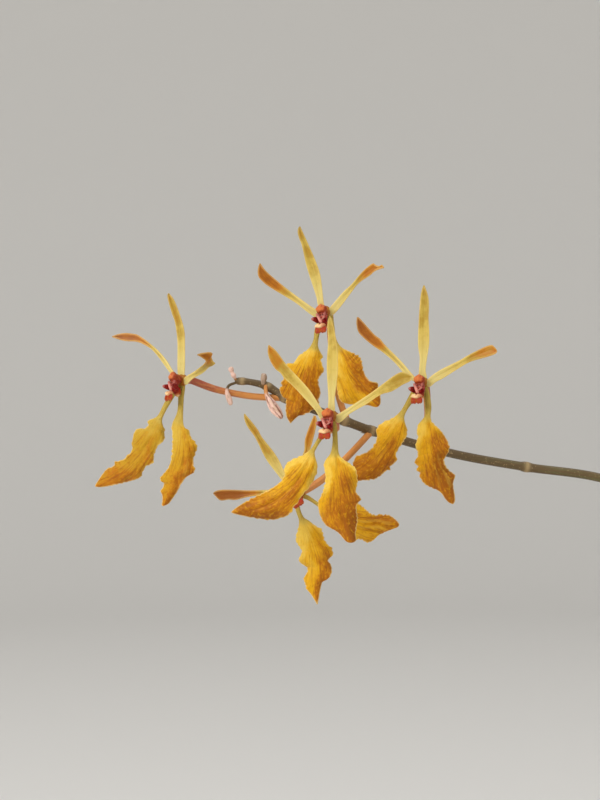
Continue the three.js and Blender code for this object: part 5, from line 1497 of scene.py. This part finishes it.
def bract_shell(foot, heading, long, seed):
    """Pointed papery scale that clasps the stem: half its width falls off to the tip, and
    it curls round its own middle line."""
    u, v = blade_grid(*BRACT_GRID)
    heading = unit_rows(np.array(heading, float))
    across = unit_rows(np.cross(heading, [0.12, 0.2, 1.0]))
    normal = np.cross(across, heading)
    half = 1.5 * np.clip(1.0 - u ** 1.5, 0, 1) ** 0.8 + 0.05 * soft_noise(u * 20.0, 5.0, seed, 5)[:, None]
    half = np.maximum(half, 0.02)
    curl = half * v
    middle = (
        np.array(foot, float) + (long * u)[..., None] * heading
        + (1.1 * np.sin(curl / 1.1))[..., None] * across
        + (-1.1 * (1 - np.cos(curl / 1.1)) + 0.5 * u ** 2)[..., None] * normal)
    thick = 0.16 * edge_fall(v, 4) * (1.0 - 0.5 * u)
    grain = np.stack([curl, long * u + 0 * v, np.full(curl.shape, 5.0 * seed)], axis=-1)
    return blade_shell(middle, grain, {}, thick, thick)


def bud_shell(bud):
    """Undeveloped bud: a tube whose radius swells from the neck's by a bell curve at each
    swelling, with five ribs and the grooves between them."""
    def ribbed(angle, share):
        """Five waves round the bud that twist along it."""
        return np.cos(5 * angle + 1.6 * share)

    def radius_at(share, angle):
        """The neck's radius and the swellings, closed at the tip, times lumps and ribs."""
        swell = sum(
            (radius - bud["neck"]) * np.exp(-(np.abs(share - place) / reach) ** 2.6)
            for place, radius, reach in bud["swellings"])
        closing = rounded_end(share, 0.93, 0.0705, 0.03)
        lumps = 1.0 + 0.05 * np.sin(9.0 * share + 2.0 * np.cos(angle))
        return (bud["neck"] + swell) * closing * lumps * (1.0 + 0.05 * ribbed(angle, share))

    def traits_at(share, angle):
        """Grooves where the ribs are low, the stalk up to its end, and two even numbers."""
        stalk_end, warmth = bud["stalk"]
        return {
            "groove": (0.5 - 0.5 * ribbed(angle, share)) * bud["striped"],
            "stalk": smoothstep(stalk_end + 0.08, stalk_end - 0.04, share),
            "warmth": warmth, "pale": bud["pale"]}
    return tube_shell(bud["line"], BUD_GRID, radius_at, traits_at)


def sheath_shell(low, high, rank, height_share, seed):
    """One leaf sheath: a band whose section runs up the outside, over a thin slanted lip
    and down the inside. The lip stands higher on the leaf's side."""
    section = np.linspace(0.0, 1.0, SHEATH_GRID[0], endpoint=False)[:, None]
    angle = circle_angles(SHEATH_GRID[1])
    lip_start, lip_end = 0.62, 0.68
    climb = np.interp(section, [0.0, lip_start, lip_end, 1.0], [0.0, 1.0, 1.0, 0.0])
    outside = smoothstep(lip_end, lip_start, section)
    top = high - 0.5 + 0.8 * np.cos(angle - rank)
    circle = np.stack([6 * np.cos(angle), 6 * np.sin(angle)], axis=-1)
    ragged = 0.22 * soft_noise(circle, 3.0, seed)
    height = blend(low, top + ragged, climb)
    fibre = 0.05 * np.cos(26 * angle + seed) + 0.04 * np.cos(17 * angle - 2.0 * seed)
    outer = STEM_RADIUS + SHEATH_FLARE * climb ** 3 + fibre
    inner = STEM_RADIUS - 0.55 + (SHEATH_FLARE + 0.1) * climb ** 3
    shell = ring_shell(blend(inner, outer, outside), height, angle)
    shell.grain = shell.points + np.array([0.0, 0.0, 31.0 * seed])
    shell.traits = {
        "height": np.full(len(shell.points), height_share),
        "edge": (smoothstep(0.86, 1.0, climb) + 0 * angle).ravel()}
    return shell


def plant_stem_shells():
    """Stack of sheaths, and the rolled young leaf at the top as a tapering body whose
    radius steps along a spiral seam."""
    levels = [STEM_FOOT + 14, *(FIRST_LEAF + LEAF_PITCH * i for i in range(LEAF_COUNT)), STEM_TOP]
    shells = []
    for i, (low, high) in enumerate(zip(levels, levels[1:])):
        rank = math.radians(LEFT_RANK if i % 2 else RIGHT_RANK)
        shells.append(sheath_shell(low - 5.0, high, rank, i / len(levels), i + 1))
    profile = [(0.0, STEM_FOOT), (4.3, STEM_FOOT), (4.3, STEM_TOP - 6), (4.0, STEM_TOP), (2.75, 351.6),
               (1.3, 363.0), (0.0, SHOOT_TIP)]

    def seam(radius, height, angle):
        """Grows along each turn of a spiral and steps back at the seam, above the sheaths."""
        turn = ((angle - 0.06 * (height - STEM_TOP)) / TURN) % 1.0
        above = smoothstep(STEM_TOP - 8, STEM_TOP + 4, height)
        return above * radius * (0.16 * turn - 0.08) * smoothstep(0.0, 0.04, turn)
    core = turned_shell(profile, SHOOT_TURNING, seam)
    core.traits = {
        "height": smoothstep(STEM_TOP - 60, STEM_TOP, core.points[:, 2]),
        "edge": np.zeros(len(core.points))}
    return [core, *shells]


def leaf_shell(index, sizes):
    """Strap leaf: its middle line starts steep and bends over, the blade wraps the stem at
    its foot and opens out, a furrow runs along the midrib with a keel beneath it, and it
    ends in two unequal lobes."""
    samples = 60
    strayed = math.sin(2.4 * index + 2.5)
    rank = math.radians((LEFT_RANK if index % 2 else RIGHT_RANK) + LEAF_STRAY * strayed)
    high = index / (LEAF_COUNT - 1)
    long = LEAF_LENGTH * (1 - 0.33 * high ** 3) + 4 * math.sin(1.7 * index)
    steep = math.radians(LEAF_STEEP + 4 * high)
    drooped = math.radians(LEAF_DROOP + 88 * high ** 2 + 7 * math.sin(3.1 * index))
    width = LEAF_WIDTH - 3 * high
    thickness = sizes.leaf_thickness / MM
    wrap_radius = STEM_RADIUS + SHEATH_FLARE + LEAF_STANDOFF

    def slope_at(s):
        """Slope of the middle line, which turns smoothly from steep to drooped."""
        return blend(steep, drooped, smoothstep(-0.35, 1.0, s))
    slopes = slope_at((np.arange(samples) + 0.5) / samples)
    reach = np.concatenate([[0.0], np.cumsum(np.cos(slopes))]) * long / samples + wrap_radius
    rise = np.concatenate([[0.0], np.cumsum(np.sin(slopes))]) * long / samples
    rise = rise + FIRST_LEAF + index * LEAF_PITCH - LEAF_SEAT

    u, v = blade_grid(*LEAF_GRID)
    lobes = 1 - 0.05 * bell(v, 0.35) - 0.035 * np.maximum(v, 0)
    s = u * blend(1.0, lobes, smoothstep(0.6, 1.0, u)) + 0.04 * np.abs(v) ** 3 * (1 - u)
    marks = np.linspace(0.0, 1.0, samples + 1)
    out, up = np.interp(s, marks, reach), np.interp(s, marks, rise)
    slope = slope_at(s)
    wrap = 1 - smoothstep(0.06, 0.45, s)
    curvature = blend(1 / 26.0, 1 / wrap_radius, wrap)
    taper = np.sqrt(np.maximum(1 - smoothstep(0.8, 1.06, s) * 0.9, 0))
    half = v * width * taper * (0.86 + 0.14 * np.sin(math.pi * s)) / 2
    beside = np.sin(half * curvature) / curvature
    lift = (1 - np.cos(half * curvature)) / curvature
    lift = lift + 0.25 * np.sin(TURN * (1.3 * u + 0.17 * index)) * v * smoothstep(0.3, 0.8, u)
    out = out - np.sin(slope) * lift
    up = up + np.cos(slope) * lift
    surface = np.stack([
        out * math.cos(rank) - beside * math.sin(rank),
        out * math.sin(rank) + beside * math.cos(rank), up], axis=-1)

    rim = edge_fall(v, 8) * edge_fall(u, 40)
    body = thickness / 2 * rim * (1.0 - 0.35 * v ** 2)
    furrow = 0.3 * bell(v, 0.07) * smoothstep(1.0, 0.9, u)
    keel = 0.35 * bell(v, 0.09) * smoothstep(1.0, 0.85, u)
    traits = {"along": u, "margin": np.abs(v), "midrib": bell(v, 0.06)}
    grain = np.stack([half, long * u + 0 * v, np.full(half.shape, 13.0 * index)], axis=-1)
    return blade_shell(surface, grain, traits, body - furrow, body + keel, UPWARD)


def root_shell(route, seed):
    """Root: a round tube with slow lumps and a blunt green tip."""
    def radius_at(share, angle):
        """The root's radius, times broad and fine lumps, closed at the tip."""
        place = np.stack(
            np.broadcast_arrays(60 * share, 2 * np.cos(angle), 2 * np.sin(angle)), axis=-1)
        lumps = 1.0 + 0.06 * soft_noise(place, 14.0, seed) + 0.02 * soft_noise(place, 3.0, seed)
        return ROOT_RADIUS * lumps * rounded_end(share, 0.965, 0.0355, 0.02)

    def traits_at(share, _):
        """The green tip, over the last stretch."""
        return {"tip": smoothstep(0.93, 0.985, share)}
    return tube_shell(route, ROOT_GRID, radius_at, traits_at)


def chip_template():
    """Corners and faces of a unit chip: each side of a cube as a 3 by 3 grid, pushed a
    little toward a ball."""
    steps = np.linspace(-1.0, 1.0, CHIP_CORNERS)
    points, faces, seen = [], [], {}
    for axis in range(3):
        for side in (-1.0, 1.0):
            corner = np.empty((CHIP_CORNERS, CHIP_CORNERS), int)
            for i, j in np.ndindex(corner.shape):
                place = [0.0, 0.0, 0.0]
                place[axis] = side
                place[(axis + 1) % 3] = steps[i]
                place[(axis + 2) % 3] = steps[j]
                key = tuple(round(value, 4) for value in place)
                if key not in seen:
                    seen[key] = len(points)
                    points.append(place)
                corner[i, j] = seen[key]
            for i, j in np.ndindex(CHIP_CORNERS - 1, CHIP_CORNERS - 1):
                loop = [corner[i, j], corner[i + 1, j], corner[i + 1, j + 1], corner[i, j + 1]]
                faces.append(loop if side > 0 else loop[::-1])
    cube = np.array(points)
    ball = unit_rows(cube)
    return cube * 0.62 + ball * 0.55, np.array(faces)


def bark_shells(sizes):
    """Bed under the chips, and chips strewn over it in a sunflower pattern: each is the
    unit chip, stretched, roughened corner by corner, tipped and turned at random."""
    bed = turned_shell(BED_PROFILE, BED_TURNING)
    # The bed is dark all over: painted shade in the gaps between the chips
    bed.traits = {"tone_and_gap_shade": np.ones(len(bed.points))}
    random = np.random.default_rng(CHIP_SEED)
    count = CHIP_COUNT
    cube, faces = chip_template()
    order = np.arange(count)
    size = np.stack([
        sizes.chip_length / MM / 2 * random.uniform(0.55, 1.15, count),
        sizes.chip_width / MM / 2 * random.uniform(0.55, 1.15, count),
        sizes.chip_height / MM / 2 * random.uniform(0.6, 1.25, count)], axis=1)
    reach = BED_RADIUS - size[:, 0]
    radius = np.minimum(BED_RADIUS * np.sqrt((order + 0.5) / count), reach)
    angle = order * GOLDEN_ANGLE + random.uniform(-0.12, 0.12, count)
    layer = np.array(CHIP_LAYERS)[order % len(CHIP_LAYERS)] + random.uniform(-0.7, 0.7, count)
    ground = blend(BED_MIDDLE_HEIGHT, BED_EDGE_HEIGHT, radius / BED_RADIUS)
    centre = np.stack([radius * np.cos(angle), radius * np.sin(angle), ground + layer], axis=1)
    spin = random.uniform(0.0, TURN, count)
    tip, roll = random.uniform(-0.42, 0.42, (2, count))
    local = cube[None] * size[:, None]
    local = local + random.uniform(-0.16, 0.16, local.shape) * size[:, None]
    turn = turning(spin, tip, roll)
    points = np.einsum("cij,cpj->cpi", turn, local) + centre[:, None]
    grain = local + random.uniform(0.0, 400.0, (count, 1, 3))
    tone_and_gap_shade = np.repeat(random.uniform(0.0, 1.0, count) ** 1.5, len(cube))
    shifted = (faces[None] + (order * len(cube))[:, None, None]).reshape(-1, 4)
    chips = Shell(points, [shifted], grain, {"tone_and_gap_shade": tone_and_gap_shade})
    return [bed, chips]


def turning(spin, tip, roll):
    """Matrices that roll about X, tip about Y and spin about Z, one for each chip."""
    cs, ss, ct, st, cr, sr = (
        np.cos(spin), np.sin(spin), np.cos(tip), np.sin(tip), np.cos(roll), np.sin(roll))
    return np.stack([
        np.stack([cs * ct, cs * st * sr - ss * cr, cs * st * cr + ss * sr], axis=1),
        np.stack([ss * ct, ss * st * sr + cs * cr, ss * st * cr - cs * sr], axis=1),
        np.stack([-st, ct * sr, ct * cr], axis=1)], axis=1)


def pot_shell(sizes):
    """Turned pot: the profile with fine turning lines and a slow uneven swelling."""
    groove = sizes.turning_groove / MM

    def relief(radius, height, angle):
        """Two waves up the pot and two uneven fields, but none at the floor's middle or the
        rim's top."""
        outside = smoothstep(38.0, 44.0, radius) * (1 - smoothstep(114.0, 115.0, height))
        lines = np.sin(TURN * height / 2.3) + 0.6 * np.sin(TURN * height / 3.7 + 1.0)
        place = np.stack([radius * np.cos(angle), radius * np.sin(angle), height * 1.4], axis=-1)
        swelling = 0.12 * soft_noise(place, 60.0, 3) + 0.04 * soft_noise(place, 9.0, 4)
        return outside * (groove * lines + swelling)
    return turned_shell(POT_PROFILE, POT_TURNING, relief)


def drill_drain_holes(pot):
    """Cuts round holes through the floor of the pot, evenly placed on a ring."""
    angle = circle_angles(DRAIN_SIDES)[0]
    points, faces = [], []
    for turn in range(DRAIN_COUNT):
        middle = TURN * (turn + 0.5) / DRAIN_COUNT
        x = DRAIN_RING_RADIUS * math.cos(middle) + DRAIN_RADIUS * np.cos(angle)
        y = DRAIN_RING_RADIUS * math.sin(middle) + DRAIN_RADIUS * np.sin(angle)
        start = len(points) * len(angle)
        ring = np.arange(len(angle)) + start
        after = np.roll(ring, -1)
        for level in DRAIN_LEVELS:
            points.append(np.stack([x, y, np.full(len(angle), level)], axis=1))
        faces.extend(np.stack([ring, after, after + len(angle), ring + len(angle)], axis=1).tolist())
        faces.append(ring[::-1].tolist())
        faces.append((ring + len(angle)).tolist())
    mesh = bpy.data.meshes.new("drain_cutter")
    mesh.from_pydata(np.concatenate(points) * MM, [], faces)
    cutter = bpy.data.objects.new("drain_cutter", mesh)
    bpy.context.scene.collection.objects.link(cutter)
    cut = pot.modifiers.new("drain_holes", "BOOLEAN")
    cut.operation = "DIFFERENCE"
    cut.solver = "EXACT"
    cut.object = cutter
    evaluated = pot.evaluated_get(bpy.context.evaluated_depsgraph_get())
    drilled = bpy.data.meshes.new_from_object(evaluated)
    pot.modifiers.clear()
    pot.data = drilled
    bpy.data.objects.remove(cutter)


class ORCHID_OT_lateral_sepals(bpy.types.Operator):
    """Builds the two broad waved sepals of every bloom"""
    bl_idname = "orchid.lateral_sepals"
    bl_label = "Lateral sepals"

    def execute(self, context):
        material = sepal_finish(context.scene.orchid_colours)
        for row, bloom in enumerate(BLOOMS):
            name = bloom["name"]
            shells = [
                sepal_shell(bloom, sepal, context.scene.orchid_sizes, 10 * row + 5 * side + 1)
                for side, sepal in enumerate(bloom["sepals"])]
            make_piece(f"{name}_lateral_sepals", shells, material, [f"{name}_tepals"])
        return {"FINISHED"}


class ORCHID_OT_narrow_tepals(bpy.types.Operator):
    """Builds the dorsal sepal, the two petals and the hub of every bloom"""
    bl_idname = "orchid.narrow_tepals"
    bl_label = "Narrow tepals"

    def execute(self, context):
        material = petal_finish(context.scene.orchid_colours)
        for row, bloom in enumerate(BLOOMS):
            name = bloom["name"]
            shells = [hub_shell(bloom)]
            for side in range(len(bloom["narrow"])):
                seed = 10 * row + side + 1
                shells.append(narrow_shell(bloom, side, context.scene.orchid_sizes, seed))
            make_piece(f"{name}_narrow_tepals", shells, material, [f"{name}_tepals"])
        return {"FINISHED"}


class ORCHID_OT_columns(bpy.types.Operator):
    """Builds the column and anther cap of every bloom"""
    bl_idname = "orchid.columns"
    bl_label = "Columns"

    def execute(self, context):
        material = column_finish(context.scene.orchid_colours)
        for bloom in BLOOMS:
            name = f"{bloom['name']}_column"
            make_piece(f"{name}_cap", column_shells(bloom), material, [name])
        return {"FINISHED"}


class ORCHID_OT_lips(bpy.types.Operator):
    """Builds the lobed lip of every bloom"""
    bl_idname = "orchid.lips"
    bl_label = "Lips"

    def execute(self, context):
        material = lip_finish(context.scene.orchid_colours)
        for bloom in BLOOMS:
            name = f"{bloom['name']}_lip"
            make_piece(f"{name}_lobes", lip_shells(bloom), material, [name])
        return {"FINISHED"}


class ORCHID_OT_pedicels(bpy.types.Operator):
    """Builds the ribbed pedicel of every bloom"""
    bl_idname = "orchid.pedicels"
    bl_label = "Pedicels"

    def execute(self, context):
        material = pedicel_finish(context.scene.orchid_colours)
        for bloom in BLOOMS:
            name = f"{bloom['name']}_pedicel"
            make_piece(f"{name}_stalk", [pedicel_shell(bloom)], material, [name])
        return {"FINISHED"}


class ORCHID_OT_flower_stem(bpy.types.Operator):
    """Builds the arching flower stem and its bracts"""
    bl_idname = "orchid.flower_stem"
    bl_label = "Flower stem"

    def execute(self, context):
        colours = context.scene.orchid_colours
        name = "flower_stem"
        make_piece("flower_stem_tube", flower_stem_shells(), flower_stem_finish(colours), [name])
        bracts = [bract_shell(*bract, seed) for seed, bract in enumerate(BRACTS)]
        make_piece("flower_stem_bracts", bracts, bract_finish(colours), [name])
        return {"FINISHED"}


class ORCHID_OT_buds(bpy.types.Operator):
    """Builds the undeveloped buds near the flower stem's tip"""
    bl_idname = "orchid.buds"
    bl_label = "Buds"

    def execute(self, context):
        material = bud_finish(context.scene.orchid_colours)
        for number, bud in enumerate(BUDS, start=1):
            make_piece(f"ribbed_bud_{number}", [bud_shell(bud)], material, [f"bud_{number}"])
        return {"FINISHED"}


class ORCHID_OT_plant_stem(bpy.types.Operator):
    """Builds the upright stem of overlapping leaf sheaths"""
    bl_idname = "orchid.plant_stem"
    bl_label = "Upright stem"

    def execute(self, context):
        material = sheath_finish(context.scene.orchid_colours)
        make_piece("leaf_sheaths", plant_stem_shells(), material, ["plant_stem"])
        return {"FINISHED"}


class ORCHID_OT_leaves(bpy.types.Operator):
    """Builds the strap leaves in two ranks"""
    bl_idname = "orchid.leaves"
    bl_label = "Leaves"

    def execute(self, context):
        material = leaf_finish(context.scene.orchid_colours)
        for index in range(LEAF_COUNT):
            number = f"{index + 1:02d}"
            shell = leaf_shell(index, context.scene.orchid_sizes)
            make_piece(f"strap_leaf_{number}", [shell], material, [f"leaf_{number}"])
        return {"FINISHED"}


class ORCHID_OT_roots(bpy.types.Operator):
    """Builds the silvery roots"""
    bl_idname = "orchid.roots"
    bl_label = "Roots"

    def execute(self, context):
        material = root_finish(context.scene.orchid_colours)
        for number, route in enumerate(ROOT_ROUTES, start=1):
            shell = root_shell(route, number)
            make_piece(f"silver_root_{number}", [shell], material, [f"root_{number}"])
        return {"FINISHED"}


class ORCHID_OT_bark(bpy.types.Operator):
    """Builds the bark chips that fill the pot"""
    bl_idname = "orchid.bark"
    bl_label = "Bark"

    def execute(self, context):
        material = bark_finish(context.scene.orchid_colours)
        shells = bark_shells(context.scene.orchid_sizes)
        piece = make_piece("bark_chips", shells, material, ["bark_medium"])
        piece.data.polygons.foreach_set("use_smooth", np.zeros(len(piece.data.polygons), bool))
        return {"FINISHED"}


class ORCHID_OT_pot(bpy.types.Operator):
    """Builds the turned terracotta pot with its drain holes"""
    bl_idname = "orchid.pot"
    bl_label = "Pot"

    def execute(self, context):
        material = clay_finish(context.scene.orchid_colours)
        shell = pot_shell(context.scene.orchid_sizes)
        pot = make_piece("terracotta_pot", [shell], material, ["pot"])
        drill_drain_holes(pot)
        return {"FINISHED"}


class ORCHID_OT_stage(bpy.types.Operator):
    """Builds the pale sweep, the soft lights and the camera"""
    bl_idname = "orchid.stage"
    bl_label = "Stage"

    def execute(self, context):
        scene = context.scene
        studio = scene.orchid_studio
        lay_backdrop(scene, studio.floor_radius, studio.sweep_radius)
        add_light("key_light", *KEY_LIGHT, studio.key_power)
        add_light("fill_light", *FILL_LIGHT, studio.fill_power)
        add_light("top_light", *TOP_LIGHT, studio.top_power)
        world = bpy.data.worlds.new("studio")
        world.use_nodes = True
        sky = world.node_tree.nodes["Background"]
        sky.inputs["Color"].default_value = (1.0, 1.0, 1.0, 1.0)
        sky.inputs["Strength"].default_value = studio.sky_strength
        scene.world = world
        scene.view_settings.view_transform = "Standard"
        aim_camera(scene)
        return {"FINISHED"}


def lay_backdrop(scene, floor_radius, sweep_radius):
    """Round floor that bends up into a wall: a flat disc, then a quarter circle, then a
    straight rise, carried round Z."""
    bend = np.linspace(0.0, math.pi / 2, BACKDROP_BEND_STEPS)[1:]
    swept = floor_radius + sweep_radius * np.sin(bend)
    radius = np.concatenate([[MIDDLE_FACE_RADIUS, floor_radius], swept])
    height = np.concatenate([[0.0, 0.0], sweep_radius * (1 - np.cos(bend))])
    radius = np.append(radius, radius[-1])
    height = np.append(height, height[-1] + WALL_RISE)[:, None]
    angle = circle_angles(BACKDROP_SIDES)
    across, beside = radius[:, None] * np.cos(angle), radius[:, None] * np.sin(angle)
    rings = np.stack([across, beside, height + 0 * angle], axis=-1)
    quads = ring_quads(*across.shape)[:, ::-1]
    mesh = bpy.data.meshes.new("pale_sweep")
    mesh.from_pydata(rings.reshape(-1, 3), [], [*quads.tolist(), list(range(BACKDROP_SIDES))])
    mesh.polygons.foreach_set("use_smooth", np.ones(len(mesh.polygons), bool))
    mesh.materials.append(backdrop_finish(scene.orchid_colours))
    floor = bpy.data.objects.new("pale_sweep", mesh)
    scene.collection.objects.link(floor)


def add_light(name, place, size, power):
    """Large soft light that looks at the spray and isn't seen itself."""
    data = bpy.data.lights.new(name, "AREA")
    data.shape = "RECTANGLE"
    data.size, data.size_y = size
    data.energy = power
    light = bpy.data.objects.new(name, data)
    toward = np.array(LIGHT_AIM) - np.array(place)
    pan = math.atan2(toward[1], toward[0]) - math.pi / 2
    rise = math.atan2(toward[2], math.hypot(toward[0], toward[1]))
    light.location = place
    light.rotation_euler = (math.pi / 2 + rise, 0.0, pan)
    light.visible_camera = False
    bpy.context.scene.collection.objects.link(light)


def aim_camera(scene):
    """Camera at the view point, level, looking along +Y."""
    data = bpy.data.cameras.new("photo_view")
    data.lens = LENS
    camera = bpy.data.objects.new("photo_view", data)
    camera.location = VIEW_POINT * MM
    camera.rotation_euler = (math.pi / 2, 0.0, 0.0)
    scene.collection.objects.link(camera)
    scene.camera = camera


OPERATORS = (
    ORCHID_OT_stage, ORCHID_OT_lateral_sepals, ORCHID_OT_narrow_tepals, ORCHID_OT_columns,
    ORCHID_OT_lips, ORCHID_OT_pedicels, ORCHID_OT_flower_stem, ORCHID_OT_buds,
    ORCHID_OT_plant_stem, ORCHID_OT_leaves, ORCHID_OT_roots, ORCHID_OT_bark, ORCHID_OT_pot,
)


class ORCHID_PT_pieces(bpy.types.Panel):
    """Buttons for every piece of the orchid and its stage"""
    bl_idname = "ORCHID_PT_pieces"
    bl_label = "Potted renanthera orchid"
    bl_space_type = "VIEW_3D"
    bl_region_type = "UI"
    bl_category = "Orchid"

    def draw(self, context):
        for operator in OPERATORS:
            self.layout.operator(operator.bl_idname)


CLASSES = (OrchidColours, OrchidSizes, OrchidStudio, *OPERATORS, ORCHID_PT_pieces)


def register():
    """Registers the classes and lays their settings on the scene type."""
    for made in CLASSES:
        bpy.utils.register_class(made)
    bpy.types.Scene.orchid_colours = bpy.props.PointerProperty(type=OrchidColours)
    bpy.types.Scene.orchid_sizes = bpy.props.PointerProperty(type=OrchidSizes)
    bpy.types.Scene.orchid_studio = bpy.props.PointerProperty(type=OrchidStudio)


def unregister():
    """Takes off what register laid, in reverse order."""
    del bpy.types.Scene.orchid_studio
    del bpy.types.Scene.orchid_sizes
    del bpy.types.Scene.orchid_colours
    for made in reversed(CLASSES):
        bpy.utils.unregister_class(made)


def main():
    register()
    bpy.ops.orchid.stage()
    bpy.ops.orchid.lateral_sepals()
    bpy.ops.orchid.narrow_tepals()
    bpy.ops.orchid.columns()
    bpy.ops.orchid.lips()
    bpy.ops.orchid.pedicels()
    bpy.ops.orchid.flower_stem()
    bpy.ops.orchid.buds()
    bpy.ops.orchid.plant_stem()
    bpy.ops.orchid.leaves()
    bpy.ops.orchid.roots()
    bpy.ops.orchid.bark()
    bpy.ops.orchid.pot()


if __name__ == "__main__":
    main()
